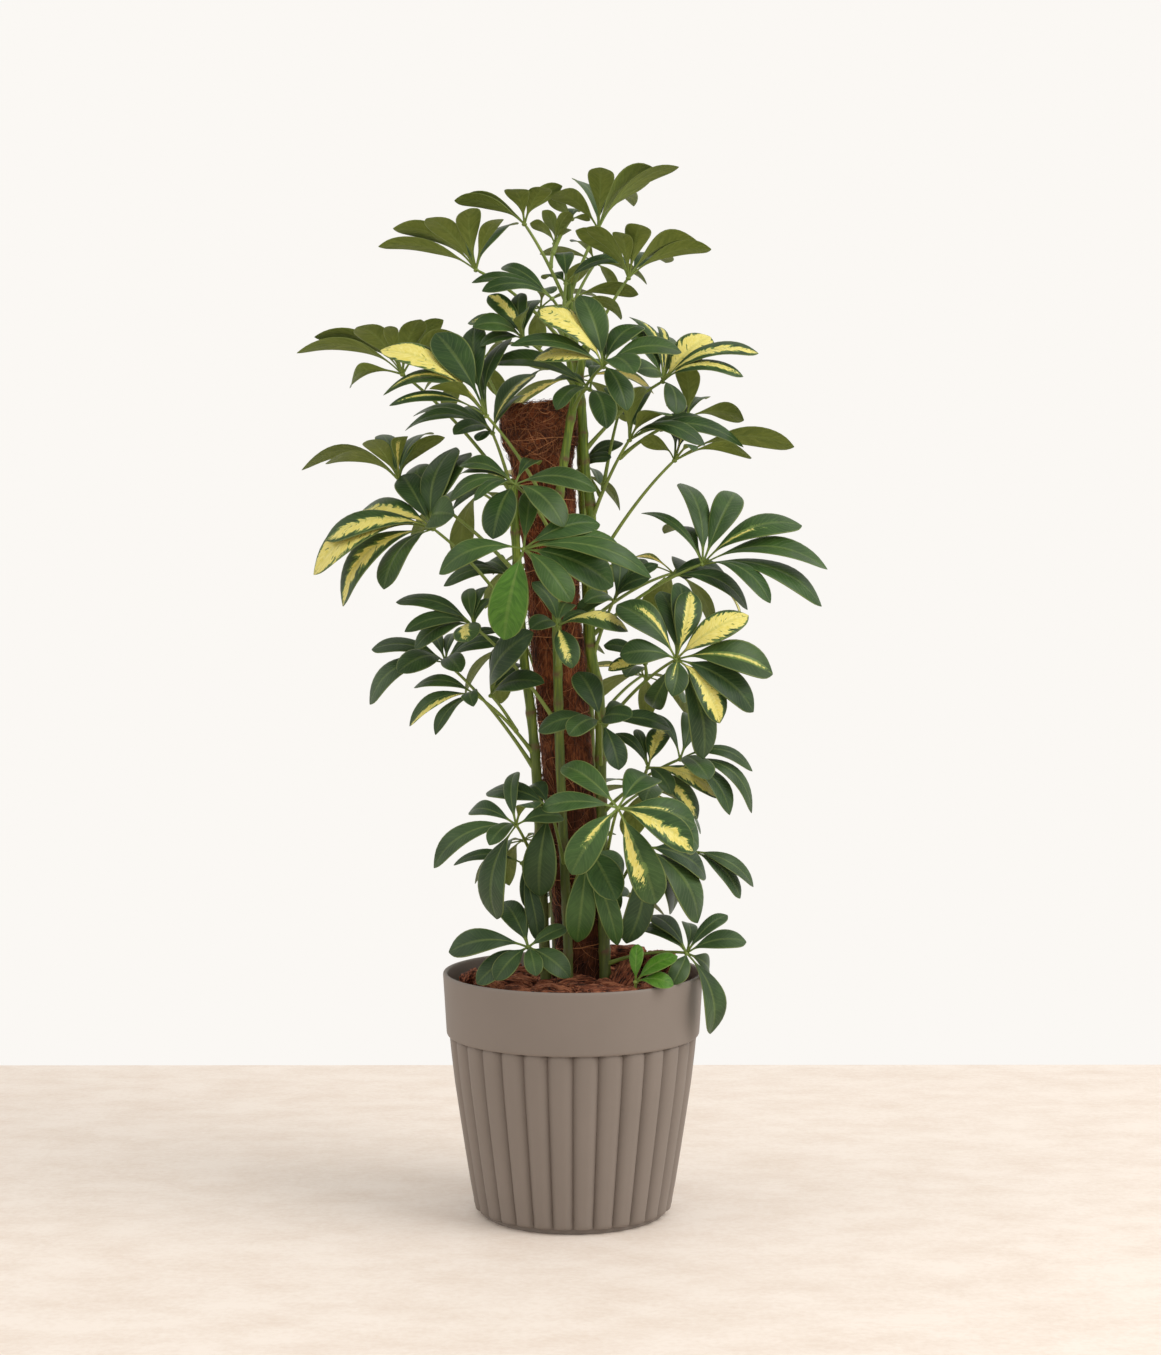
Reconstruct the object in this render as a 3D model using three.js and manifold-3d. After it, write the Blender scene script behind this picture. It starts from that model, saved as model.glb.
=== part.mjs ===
// Umbrella plant trained up a coir pole, in a fluted pot.
// Millimetres, +Z up, the front at -Y, origin at the centre of the pot's flat base.
import * as THREE from "three";
import { mergeVertices } from "three/addons/utils/BufferGeometryUtils.js";
import Module from "manifold-3d";

const wasm = await Module();
wasm.setup();

// ---- driving dimensions ----

const GAP = 0.4; // air kept between neighbouring pieces

const POT = {
  height: 242,
  rimRadius: 130.3,
  rimRound: 2,
  bandFootRadius: 126.8, // outer radius at the lower edge of the smooth band
  bandFoot: 181, // height of that edge
  lip: 4, // height of the rounded lip under the band
  flutes: 30,
  fluteDepth: 2.6,
  fluteTopRadius: 123.5,
  fluteFootRadius: 98.5,
  fluteFoot: 5,
  footRadius: 93,
  wall: 4.5,
  floor: 9,
  drainHoles: 4,
  drainRadius: 6,
  drainCircle: 55,
  sides: 30, // facets round the rim, the foot and the inside
};
const SOIL_TOP = 214;
const MULCH = { bed: 229, relief: 5, rimDrop: 4, rings: 3, sectors: 16, radius: 120 };

// The coir pole is straight and leans a little to the left.
const POLE = {
  foot: new THREE.Vector3(19, 8, 150),
  lean: new THREE.Vector3(-0.083, 0, 1).normalize(),
  stakeRadius: 9,
  stakeDepth: 130, // how far the bare stake goes on below the wrap
  length: 662,
};
// The wrap's radius at heights above its own foot: it bulges and ends in a folded cap.
const WRAP = [
  [0, 24],
  [110, 25.5],
  [330, 25],
  [520, 26],
  [565, 29.5],
  [598, 29],
  [612, 31],
  [626, 36.5],
  [652, 37],
  [662, 32],
];

// Where the plant is seen from: a point is named by where it shows in the plane of the pot's axis
// (x across, z up) and by its depth behind that plane, and it lies on the line of sight.
const EYE = new THREE.Vector3(0, -2500, 660);

// ---- stems: [x, z, depth], with their radius at the foot and at the top ----

const STEMS = {
  stem_front: {
    radius: [4.8, 4],
    points: [
      [-3, 165, -34], [-5, 263, -32], [-13, 458, -27], [-15.5, 560, -27], [-17, 673, -29],
      [-13, 723, -32], [-9, 752, -33], [-3, 790, -33], [5, 830, -30], [12, 868, -26],
    ],
  },
  stem_right: {
    radius: [6, 4.2],
    points: [
      [34, 165, -21], [32, 250, -18], [30, 340, -12], [28, 430, -7], [26, 520, -6], [18, 565, -6],
      [17, 640, -6], [18, 703, -6], [12, 748, -8], [9, 800, -8], [2, 863, -8], [-5, 930, -6],
    ],
  },
  stem_left: {
    radius: [5.6, 4.2],
    points: [
      [-25, 165, -16], [-28, 250, -15], [-36, 433, -12], [-42, 503, -12], [-48, 548, -12],
      [-55, 640, -13], [-60, 735, -15],
    ],
  },
  stem_back: {
    radius: [4.6, 3.6],
    points: [
      [26, 165, 41], [22, 253, 39], [20, 357, 36], [18, 468, 31], [13, 613, 34], [10, 700, 38], [6, 780, 48],
      [-3, 850, 44], [-10, 905, 40],
    ],
  },
  stem_rear_left: {
    radius: [4.8, 3.8],
    points: [[-14, 165, 44], [-16, 250, 46], [-26, 450, 48], [-34, 620, 50], [-44, 745, 54]],
  },
};

// ---- leaves ----

// The way a leaf's upper side looks.
const UP = [0, -0.1, 1];
const UNDER = [0, 0.35, 0.94]; // from the front its underside shows
const UNDER_LEFT = [-0.2, 0.32, 0.92];
const UNDER_RIGHT = [0.2, 0.32, 0.92];
const TOP = [0, -0.5, 0.87]; // from the front its upper side shows
const TOP_LEFT = [-0.35, -0.45, 0.82];
const TOP_RIGHT = [0.35, -0.45, 0.82];
const FRONT = [0, -0.8, 0.6];
const FRONT_RIGHT = [0.25, -0.75, 0.61];
const BACK = [0, 0.4, 0.92];
const BACK_LEFT = [-0.3, 0.35, 0.88];
const BACK_RIGHT = [0.3, 0.35, 0.88];

// A leaf has its hub [x, z, depth], its face, what its stalk grows from (a stem and a height, or
// another leaf's stalk and a share of its length, with which it is fused), and the reach of its
// longest leaflets. Its leaflets are [x, z, lean, width, arch] of their tips: lean is the share of
// the length that the view doesn't show that goes away (+) or comes nearer (-), width is how wide
// the leaflet shows from the front, and arch is the height of its arch over its length. Width and
// arch are given where they aren't the usual ones. A ring [count, turn, droop] sets them evenly.
const LEAVES = [
  // the large leaves in front
  { name: "leaf_aa", hub: [45, 407, -135], face: FRONT, from: ["stem_right", 335], reach: 104,
    tips: [[-12, 450, 0.5, 22], [-32, 407, 0.1, 19], [-2, 340, -0.3, 31], [84, 310, -0.2, 34],
    [121, 365, -0.3, 26], [123, 391, 0.2, 28], [79, 438, 0.7, 28], [127, 368, 0.5]] },
  { name: "leaf_m", hub: [-49, 666, -140], face: FRONT, from: ["stem_front", 606], reach: 94,
    tips: [[-69, 575, -0.5, 38], [-1, 613, -0.5, 26], [41, 630, -0.2], [48, 668, -0.1, 22, 0.16],
    [79, 641, 0.3, 18, 0.22], [27, 692, 0.4, 22, 0.2], [-42, 723, 0.6, 20],
    [-134, 642, 0, 22, 0.25]] },
  { name: "leaf_v", hub: [103, 556, -85], face: FRONT_RIGHT, from: ["stem_right", 484], reach: 100,
    tips: [[117, 624, 0.3, 28], [175, 601, 0.2, 27, 0.21], [200, 542, 0], [182, 505, -0.1, 26],
    [147, 492, -0.3, 25], [131, 456, 0.2, 28], [78, 507, 0.6, 22], [99, 519, -0.4, 24],
    [47, 561, -0.2, 22], [44, 611, 0.2, 30], [87, 624, 0.6, 24], [107, 634, 0.7, 24]] },
  { name: "leaf_w", hub: [72, 552, -40], face: TOP_LEFT, from: ["leaf_v", 0.62], reach: 46,
    tips: [[31, 571, 0.2], [35, 545, -0.3]] },
  { name: "leaf_l", hub: [-58, 730, -115], face: TOP, from: ["stem_front", 672], reach: 82,
    tips: [[-80, 676, -0.6, 33], [-9, 688, -0.5, 24], [24, 724, -0.1, 18], [-34, 752, 0.8, 13],
    [-123, 715, -0.2, 14, 0.25], [-98, 716, -0.6, 9, 0.2], [-113, 750, 0.3, 13],
    [-113, 742, 0.2, 10], [-122, 704, 0.6, 12]] },
  { name: "leaf_k", hub: [-139, 686, -60], face: TOP_LEFT, from: ["stem_left", 588], reach: 116,
    tips: [[-170, 741, 0.5, 28], [-154, 750, 0.7, 30], [-118, 768, 0.5, 31], [-103, 763, 0.2, 28],
    [-212, 704, 0.3, 24, 0.2], [-247, 676, 0, 22, 0.19], [-259, 641, -0.1, 26, 0.24],
    [-232, 611, -0.3, 24, 0.22], [-189, 626, -0.5, 24], [-118, 700, -0.6, 24]] },
  { name: "leaf_u", hub: [129, 651, -20], face: TOP_RIGHT, from: ["stem_right", 578], reach: 122,
    tips: [[70, 705, 0.2, 9], [91, 682, 0.6, 14, 0.25], [109, 733, 0.6, 26], [163, 724, 0.7, 30],
    [228, 690, 0.3, 22, 0.22], [254, 646, 0, 22, 0.19], [250, 613, -0.1, 20, 0.19],
    [197, 612, -0.4, 16, 0.22]] },
  { name: "leaf_uu", hub: [92, 636, -10], face: TOP_RIGHT, from: ["leaf_u", 0.6], reach: 92,
    tips: [[175, 607, 0, 16, 0.26], [153, 640, 0.3, 15, 0.22]] },
  { name: "leaf_i", hub: [-86, 798, -95], face: TOP_LEFT, from: ["stem_front", 690], reach: 104,
    stalk: 0.3, tips: [[-191, 863, 0.2, 25], [-136, 880, 0.4, 34], [-98, 887, 0.6, 26],
    [-188, 822, -0.2, 14, 0.3], [-182, 810, -0.5, 11], [-138, 829, -0.6, 18], [-84, 856, 0.7, 22],
    [-62, 876, 0.5, 16]] },
  { name: "leaf_hh", hub: [30, 847, -105], face: TOP, from: ["stem_front", 800], reach: 86,
    tips: [[-32, 904, 0.3, 26], [-39, 854, -0.1, 20], [7, 917, 0.5, 28], [67, 888, 0.4, 24],
    [108, 861, 0.1, 20], [61, 842, -0.7, 24], [54, 804, -0.6, 24], [33, 868, 0.95, 16],
    [-62, 868, -0.5, 14]] },
  { name: "leaf_ii", hub: [17, 824, -75], face: UP, from: ["leaf_hh", 0.35], reach: 84,
    tips: [[-81, 851, 0, 20], [-17, 804, -0.4, 14, 0.22], [34, 786, -0.7, 24],
    [-18, 835, 0.6, 12, 0.2], [30, 846, 0.7, 14]] },
  { name: "leaf_x", hub: [28, 493, -75], face: TOP, from: ["stem_right", 448], reach: 68,
    tips: [[5, 544, 0.6, 28], [-35, 484, -0.2, 18], [-4, 480, -0.7, 25], [58, 499, -0.7, 20],
    [52, 510, 0.5, 20], [98, 486, -0.1, 15, 0.16], [46, 445, -0.5, 23]] },
  { name: "leaf_s", hub: [-16, 589, -70], face: TOP, from: ["stem_front", 548], reach: 70,
    tips: [[-41, 633, 0.4, 20], [-42, 587, -0.6, 18], [-2, 612, 0.7, 18], [15, 603, 0.5, 18],
    [55, 586, 0, 18, 0.2], [-1, 547, -0.5, 25]] },
  { name: "leaf_bb", hub: [-57, 390, -85], face: TOP_LEFT, from: ["stem_left", 330], reach: 96,
    tips: [[-141, 349, -0.1, 17, 0.22], [-104, 404, 0.4, 14, 0.2], [-57, 445, 0.6, 16],
    [-38, 409, -0.6, 14], [-9, 397, 0.3, 20], [-79, 295, -0.3, 27], [-84, 370, -0.5, 12]] },
  { name: "leaf_bd", hub: [-51, 352, -45], face: TOP, from: ["leaf_bb", 0.4], reach: 70,
    tips: [[-120, 352, 0.1, 9], [-44, 305, -0.2, 15], [-25, 321, 0.5, 20], [-34, 272, 0.5, 18]] },
  { name: "leaf_bc", hub: [-23, 407, -62], face: TOP, from: ["stem_front", 350], reach: 92,
    tips: [[-87, 423, 0.2, 19], [-34, 318, -0.3, 34], [-46, 429, 0.6, 18]] },
  { name: "leaf_cc", hub: [15, 366, -80], face: FRONT, from: ["stem_front", 305], reach: 98,
    tips: [[4, 271, -0.1, 29], [43, 315, -0.6, 32], [32, 383, 0.8, 22], [50, 338, 0.3, 22],
    [44, 298, 0.5, 20], [46, 268, 0.4, 22]] },
  { name: "leaf_z", hub: [107, 456, -45], face: TOP_RIGHT, from: ["stem_right", 402], reach: 92,
    tips: [[72, 503, 0.4, 9, 0.2], [114, 504, 0.7, 18], [180, 445, 0, 11, 0.3],
    [181, 404, -0.1, 13, 0.3], [158, 401, -0.4, 16, 0.2], [136, 437, -0.6, 20]] },
  { name: "leaf_y", hub: [75, 448, -50], face: TOP, from: ["leaf_z", 0.55], reach: 80,
    tips: [[43, 483, 0.2, 10], [63, 487, 0.6, 11], [90, 487, 0.3, 22], [99, 422, -0.4, 16],
    [148, 418, -0.3, 17], [126, 397, -0.3, 18]] },
  // the left side
  { name: "leaf_o", hub: [-99, 589, -60], face: TOP_LEFT, from: ["stem_front", 490], reach: 80,
    tips: [[-176, 615, 0.1, 14, 0.2], [-147, 596, 0.7, 12, 0.2], [-158, 567, -0.4, 16, 0.24],
    [-168, 584, -0.2, 13, 0.2], [-104, 627, 0.5, 15], [-87, 630, 0.7, 13], [-79, 617, 0.3, 10],
    [-105, 574, -0.7, 24]] },
  { name: "leaf_p", hub: [-127, 553, -15], face: TOP_LEFT, from: ["stem_left", 444], reach: 84,
    tips: [[-201, 566, 0.2, 15, 0.2], [-204, 512, -0.2, 20, 0.28], [-175, 543, -0.6, 19, 0.22],
    [-138, 581, 0.6, 13], [-113, 583, 0.7, 13], [-74, 586, 0.3, 10], [-69, 574, -0.3, 12],
    [-112, 544, -0.7, 17]] },
  { name: "leaf_q", hub: [-98, 521, -50], face: TOP_LEFT, from: ["stem_left", 460], reach: 78,
    tips: [[-159, 529, 0.2, 12, 0.22], [-164, 490, -0.2, 13, 0.2], [-138, 481, -0.5, 11],
    [-100, 510, -0.6, 16]] },
  { name: "leaf_r", hub: [-82, 520, -32], face: TOP, from: ["leaf_q", 0.3], reach: 76,
    tips: [[-72, 572, 0.6, 16], [-41, 583, 0.2, 24], [-52, 552, 0.7, 12], [-29, 533, -0.2, 17]] },
  { name: "leaf_n", hub: [-58, 635, 25], face: TOP_LEFT, from: ["stem_rear_left", 575], reach: 74,
    tips: [[-126, 647, 0.2, 11, 0.15], [-129, 630, -0.2, 12, 0.25], [-85, 653, 0.7, 20]] },
  { name: "leaf_j", hub: [-173, 734, -20], face: UNDER_LEFT, from: ["stem_left", 640], reach: 98,
    tips: [[-269, 748, -0.1, 13, 0.3], [-246, 753, -0.4, 13, 0.22], [-204, 774, -0.6, 22],
    [-190, 780, 0.6, 22], [-170, 779, -0.7, 16], [-128, 777, 0.3, 12, 0.2],
    [-140, 782, 0.5, 14]] },
  { name: "leaf_mm", hub: [-80, 781, -40], face: TOP_LEFT, from: ["stem_left", 716], reach: 86,
    tips: [[-38, 840, 0.3, 18], [-48, 818, 0.5, 13], [-167, 785, 0, 12, 0.24],
    [-159, 800, 0.4, 12, 0.2], [-118, 780, -0.6, 13], [-112, 806, 0.7, 11], [-95, 774, -0.3, 9]] },
  { name: "leaf_h", hub: [-169, 839, -25], face: UNDER_LEFT, from: ["stem_left", 726], reach: 102,
    tips: [[-273, 863, -0.1, 13, 0.2], [-255, 878, 0.2, 14, 0.2], [-214, 887, -0.5, 24],
    [-182, 888, -0.6, 15], [-152, 894, -0.2, 22], [-130, 893, 0.4, 13], [-118, 881, -0.1, 14],
    [-221, 827, -0.5, 13, 0.26], [-200, 862, 0.8, 20]] },
  // the right side
  { name: "leaf_t", hub: [41, 615, -25], face: TOP_RIGHT, from: ["stem_right", 556], reach: 62,
    tips: [[45, 663, 0.4, 18], [77, 638, -0.4, 16], [84, 652, 0.2, 14], [73, 656, 0.6, 18],
    [12, 613, -0.6, 16], [4, 602, -0.2, 16]] },
  { name: "leaf_ll", hub: [101, 754, -50], face: UNDER_RIGHT, from: ["stem_right", 640],
    reach: 119, stalk: 0.26, tips: [[220, 768, 0, 20, 0.17], [178, 758, -0.4, 14, 0.17],
    [120, 765, -0.5, 9], [88, 786, 0.5, 11], [67, 773, 0.2, 11, 0.2], [114, 780, 0.6, 12]] },
  { name: "leaf_kk", hub: [56, 774, -40], face: UP, from: ["stem_right", 694], reach: 114,
    tips: [[170, 769, 0, 15, 0.22], [131, 770, -0.5, 13, 0.26], [75, 828, 0.6, 20],
    [92, 800, -0.6, 18], [68, 827, -0.3, 20], [145, 787, 0.2, 14, 0.2]] },
  { name: "leaf_kl", hub: [113, 796, -5], face: UNDER_RIGHT, from: ["leaf_kk", 0.7], reach: 58,
    tips: [[111, 848, -0.4, 29], [170, 795, -0.1, 20], [132, 816, 0.7, 14], [98, 806, 0.7, 16]] },
  { name: "leaf_jj", hub: [46, 802, 25], face: TOP, from: ["leaf_kk", 0.3], reach: 50,
    tips: [[35, 828, 0.5, 18], [67, 825, 0.5, 18], [67, 788, -0.4, 18]] },
  { name: "leaf_km", hub: [8, 747, 14], face: TOP_RIGHT, from: ["leaf_kk", 0.25], reach: 44,
    tips: [[50, 771, 0.3, 13], [38, 757, -0.3, 11]] },
  { name: "leaf_gg", hub: [89, 832, -30], face: TOP_RIGHT, from: ["stem_right", 762], reach: 98,
    tips: [[57, 897, 0.4, 12, 0.2], [85, 888, 0.6, 10], [44, 886, 0.1, 20], [101, 871, 0.8, 14],
    [86, 881, 0.9, 24], [136, 877, 0.3, 30], [184, 861, 0, 17, 0.2], [169, 838, -0.3, 13, 0.22],
    [62, 843, -0.5, 18], [103, 801, -0.4, 23]] },
  // the crown
  { name: "leaf_e", hub: [55, 934, -45], face: UNDER_RIGHT, from: ["stem_front", 846], reach: 92,
    tips: [[3, 981, 0.3, 14], [14, 984, -0.1, 14], [45, 980, -0.6, 18], [66, 987, -0.7, 26],
    [122, 972, -0.4, 18, 0.2], [137, 963, 0, 13, 0.18], [92, 950, 0.8, 20]] },
  { name: "leaf_f", hub: [-21, 914, -65], face: TOP_LEFT, from: ["stem_right", 868], reach: 85,
    tips: [[-100, 932, 0.1, 13, 0.15], [-90, 922, -0.5, 16], [-71, 946, 0.6, 14]] },
  { name: "leaf_f2", hub: [-7, 929, -15], face: TOP, from: ["leaf_f", 0.5], reach: 66,
    tips: [[-10, 960, 0.7, 20], [56, 950, 0.2, 14, 0.2], [-28, 934, 0.5, 14]] },
  { name: "leaf_f3", hub: [0, 913, -40], face: UNDER_RIGHT, from: ["leaf_f", 0.6], reach: 70,
    tips: [[65, 918, -0.1, 14, 0.2], [50, 897, -0.6, 14]] },
  { name: "leaf_g", hub: [-49, 874, -75], face: TOP_LEFT, from: ["stem_front", 822], reach: 68,
    tips: [[-84, 917, 0.5, 19], [-104, 891, 0.1, 18], [-99, 887, -0.5, 16], [-53, 920, 0.4, 19],
    [-46, 903, -0.5, 18], [-36, 913, 0.7, 18], [-92, 868, -0.3, 15]] },
  { name: "leaf_a", hub: [-96, 942, -40], face: UNDER_LEFT, from: ["stem_back", 868], reach: 98,
    tips: [[-192, 967, -0.1, 13, 0.15], [-177, 985, -0.3, 16], [-145, 993, -0.6, 21],
    [-102, 1003, -0.7, 25], [-72, 993, -0.6, 15], [-55, 988, 0.6, 16], [-126, 978, 0.8, 20]] },
  { name: "leaf_b", hub: [-48, 987, -25], face: UNDER, from: ["stem_right", 896], reach: 76,
    tips: [[-117, 1011, -0.1, 12, 0.18], [-107, 1014, 0.4, 13], [-60, 1022, -0.7, 22],
    [-26, 1024, -0.5, 18], [-12, 1025, 0.3, 12]] },
  { name: "leaf_b2", hub: [-18, 968, 25], face: UNDER, from: ["leaf_b", 0.45], reach: 50,
    tips: [[-42, 988, 0.2, 16], [-30, 1000, 0.3, 16], [-3, 999, 0.6, 15], [-3, 982, -0.3, 14]] },
  { name: "leaf_b3", hub: [-1, 992, 45], face: UNDER, from: ["leaf_b2", 0.4], reach: 40,
    tips: [[-24, 1010, 0.4, 14], [6, 1000, 0.8, 14], [17, 991, 0.2, 14]] },
  { name: "leaf_d", hub: [25, 982, 0], face: UNDER_RIGHT, from: ["stem_right", 914], reach: 100,
    tips: [[0, 1031, 0.5, 17], [-18, 1018, -0.3, 20], [28, 1044, -0.6, 26], [80, 1042, 0.3, 22],
    [102, 1046, -0.1, 13], [60, 1010, 0.8, 20]] },
  // low on the right and near the rim
  { name: "leaf_cd", hub: [70, 368, -60], face: TOP_RIGHT, from: ["stem_right", 296], reach: 100,
    tips: [[134, 337, 0.3, 22], [127, 292, -0.1, 27], [100, 302, 0.4, 26], [54, 270, -0.3, 29]] },
  { name: "leaf_ce", hub: [119, 364, -20], face: TOP_RIGHT, from: ["leaf_cd", 0.6], reach: 75,
    tips: [[182, 329, 0, 14], [168, 316, -0.2, 14]] },
  { name: "leaf_dd", hub: [-45, 267, -82], face: FRONT, from: ["stem_left", 246], reach: 78,
    tips: [[-125, 262, 0.1, 22, 0.3], [-97, 230, -0.2, 21], [-78, 234, -0.4, 21],
    [-37, 238, -0.5, 18], [-3, 237, -0.2, 22], [-6, 287, 0.2, 14], [-53, 309, 0.6, 12],
    [-70, 313, 0.6, 24]] },
  { name: "leaf_ee", hub: [114, 261, -52], face: TOP_RIGHT, from: ["stem_right", 252], reach: 86,
    tips: [[155, 300, 0.3, 14], [174, 273, 0, 17], [113, 293, 0.6, 15], [78, 300, 0.4, 22],
    [70, 288, 0.2, 14], [100, 229, -0.4, 20], [140, 179, 0, 21], [136, 239, 0.5, 16]] },
  { name: "leaf_ff", hub: [63, 232, -92], face: TOP, from: ["soil", 58, -84], reach: 46,
    tips: [[65, 270, 0.3, 14], [105, 258, -0.1, 20], [101, 229, -0.4, 16]] },
  // behind the pole
  { name: "leaf_back_1", hub: [-32, 905, 92], face: BACK_LEFT, from: ["stem_back", 870], reach: 62,
    ring: [6, 0.1, 0.25] },
  { name: "leaf_back_2", hub: [22, 948, 84], face: BACK_RIGHT, from: ["stem_back", 892], reach: 58,
    ring: [6, 0.5, 0.1] },
  { name: "leaf_back_3", hub: [-92, 850, 92], face: BACK_LEFT, from: ["stem_rear_left", 738],
    reach: 72, ring: [6, 0.7, 0.3] },
  { name: "leaf_back_4", hub: [5, 835, 130], face: BACK, from: ["stem_back", 792], reach: 88,
    ring: [6, 0.2, 0.35] },
  { name: "leaf_back_5", hub: [-92, 722, 105], face: BACK_LEFT, from: ["stem_rear_left", 672],
    reach: 92, ring: [6, 0.4, 0.35] },
  { name: "leaf_back_6", hub: [0, 742, 122], face: BACK_RIGHT, from: ["stem_back", 704], reach: 64,
    ring: [6, 0.6, 0.35] },
  { name: "leaf_back_7", hub: [-22, 655, 140], face: BACK, from: ["stem_rear_left", 606],
    reach: 90, ring: [6, 0, 0.4] },
  { name: "leaf_back_8", hub: [100, 642, 85], face: BACK_RIGHT, from: ["stem_back", 590],
    reach: 90, ring: [6, 0.2, 0.35] },
  { name: "leaf_back_9", hub: [-48, 572, 105], face: BACK_LEFT, from: ["stem_rear_left", 508],
    reach: 84, ring: [6, 0.5, 0.4] },
  { name: "leaf_back_10", hub: [70, 540, 105], face: BACK_RIGHT, from: ["stem_back", 482],
    reach: 76, ring: [6, 0.8, 0.4] },
  { name: "leaf_back_11", hub: [72, 425, 92], face: BACK_RIGHT, from: ["stem_back", 372],
    reach: 84, ring: [6, 0.1, 0.4] },
  { name: "leaf_back_12", hub: [-50, 375, 100], face: BACK_LEFT, from: ["stem_rear_left", 322],
    reach: 68, ring: [6, 0.4, 0.4] },
  { name: "leaf_back_13", hub: [22, 315, 102], face: BACK, from: ["stem_back", 276], reach: 76,
    ring: [5, 0.3, 0.2] },
];

const LEAFLET = {
  stalk: 0.15, // share of a leaflet that is its thin stalk
  stalkHalf: 1.1,
  widthShare: 0.33, // width over length where none is given
  widest: 0.5, // the most that a width is of its length
  leastShown: 0.6, // the least share of its width that a leaflet shows from the front
  keel: 1.4, // thickness at the midrib
  arch: 0.17, // height of the arch over its length
};
// The blade's outline: [share of the blade, share of its half width].
const OUTLINE = [
  [0.4, 0.95],
  [0.79, 0.88],
];
const SMALL_OUTLINE = [[0.6, 1]];
const SMALL_WIDTH = 17; // leaflets narrower than this, and those in rings, have the small outline
const HUB = { radius: 3.8, up: 2.2, down: 2.8, sides: 5 };
const STALK_RADIUS = [2.4, 1.5]; // a leaf's stalk at the stem and at the hub

// What would cross its neighbour is bent clear: these are tried in turn, in mm of depth.
const BENDS = [0, -9, 9, -18, 18, -28, 28, -40, 40, -54, 54];
const SHORTER = [1, 0.8];
const STALK_SLIDES = [0, 7, -7, 14, -14];
const STALK_BENDS = [0, -10, 10, -22, 22, -36, 36];

// ---- solids ----

// A closed geometry as a solid, whichever way round its faces were drawn.
function solidOf(geometry) {
  const plain = geometry.clone();
  plain.deleteAttribute("normal");
  plain.deleteAttribute("uv");
  const merged = mergeVertices(plain, 1e-3);
  const kept = [];
  for (let i = 0; i < merged.index.count; i += 3) {
    const [a, b, c] = [0, 1, 2].map((k) => merged.index.getX(i + k));
    if (a !== b && b !== c && c !== a) kept.push([a, b, c]);
  }
  const make = (triangles) =>
    new wasm.Manifold(
      new wasm.Mesh({
        numProp: 3,
        vertProperties: merged.attributes.position.array,
        triVerts: new Uint32Array(triangles.flat()),
      }),
    );
  const solid = make(kept);
  return solid.volume() > 0 ? solid : make(kept.map(([a, b, c]) => [a, c, b]));
}

// A closed skin over rings of points, each with as many points as the last, or one point at a tip.
function loft(rings) {
  const points = [];
  const starts = rings.map((ring) => points.push(...ring) - ring.length);
  const triangles = [];
  const cap = (ring, start, flip) => {
    if (ring.length < 3) return;
    const centre = ring.length > 4 ? points.push(middle(ring)) - 1 : null;
    for (let k = 0; k < ring.length; k++) {
      const next = (k + 1) % ring.length;
      if (centre !== null) triangles.push(flip ? [centre, start + next, start + k]
        : [centre, start + k, start + next]);
      else if (k > 0 && next > 0) triangles.push(flip ? [start, start + next, start + k]
        : [start, start + k, start + next]);
    }
  };
  cap(rings[0], starts[0], true);
  cap(rings.at(-1), starts.at(-1), false);
  for (let i = 1; i < rings.length; i++) {
    const [low, high] = [rings[i - 1], rings[i]];
    const sides = Math.max(low.length, high.length);
    for (let k = 0; k < sides; k++) {
      const next = (k + 1) % sides;
      const [a, b] = [starts[i - 1] + (k % low.length), starts[i - 1] + (next % low.length)];
      const [c, d] = [starts[i] + (k % high.length), starts[i] + (next % high.length)];
      if (a !== b) triangles.push([a, b, d]);
      if (c !== d) triangles.push([a, d, c]);
    }
  }
  const geometry = new THREE.BufferGeometry().setFromPoints(points);
  geometry.setIndex(triangles.flat());
  return solidOf(geometry);
}

function middle(points) {
  return points.reduce((sum, p) => sum.add(p), new THREE.Vector3()).divideScalar(points.length);
}

// A turned solid about the Z axis from [radius, height] points.
function turned(profile, sides) {
  const points = profile.map(([radius, height]) => new THREE.Vector2(radius, height));
  return solidOf(new THREE.LatheGeometry(points, sides).rotateX(Math.PI / 2));
}

// A tube with a radius at each of its points along a curve.
function tube(curve, radii, sides, grow = 0) {
  const steps = radii.length - 1;
  const side = new THREE.Vector3(1, 0.3, 0).normalize();
  const rings = radii.map((radius, i) => {
    const along = curve.getTangent(i / steps);
    const across = side.clone().cross(along).normalize();
    const other = along.clone().cross(across);
    return Array.from({ length: sides }, (_, k) => {
      const turn = (2 * Math.PI * k) / sides;
      return curve.getPoint(i / steps)
        .addScaledVector(across, (radius + grow) * Math.cos(turn))
        .addScaledVector(other, (radius + grow) * Math.sin(turn));
    });
  });
  return loft(rings);
}

function blend(from, to, steps) {
  return Array.from({ length: steps + 1 }, (_, i) => from + ((to - from) * i) / steps);
}

// A seeded random number from 0 to 1.
function randomiser(seed) {
  let state = seed;
  return () => {
    state = (state * 1103515245 + 12345) % 2147483648;
    return state / 2147483648;
  };
}

function largest(solid) {
  return solid.decompose().sort((a, b) => b.volume() - a.volume())[0];
}

// ---- the pot ----

function fluteRing(height, radius, depth) {
  const ring = [];
  const pitch = (2 * Math.PI) / POT.flutes;
  for (let k = 0; k < POT.flutes; k++) {
    for (const [share, sunk] of [[0, 1], [0.27, 0.14], [0.73, 0.14]]) {
      const turn = (k + share) * pitch - Math.PI / 2;
      const r = radius - depth * sunk;
      ring.push(new THREE.Vector3(r * Math.cos(turn), r * Math.sin(turn), height));
    }
  }
  return ring;
}

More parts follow.
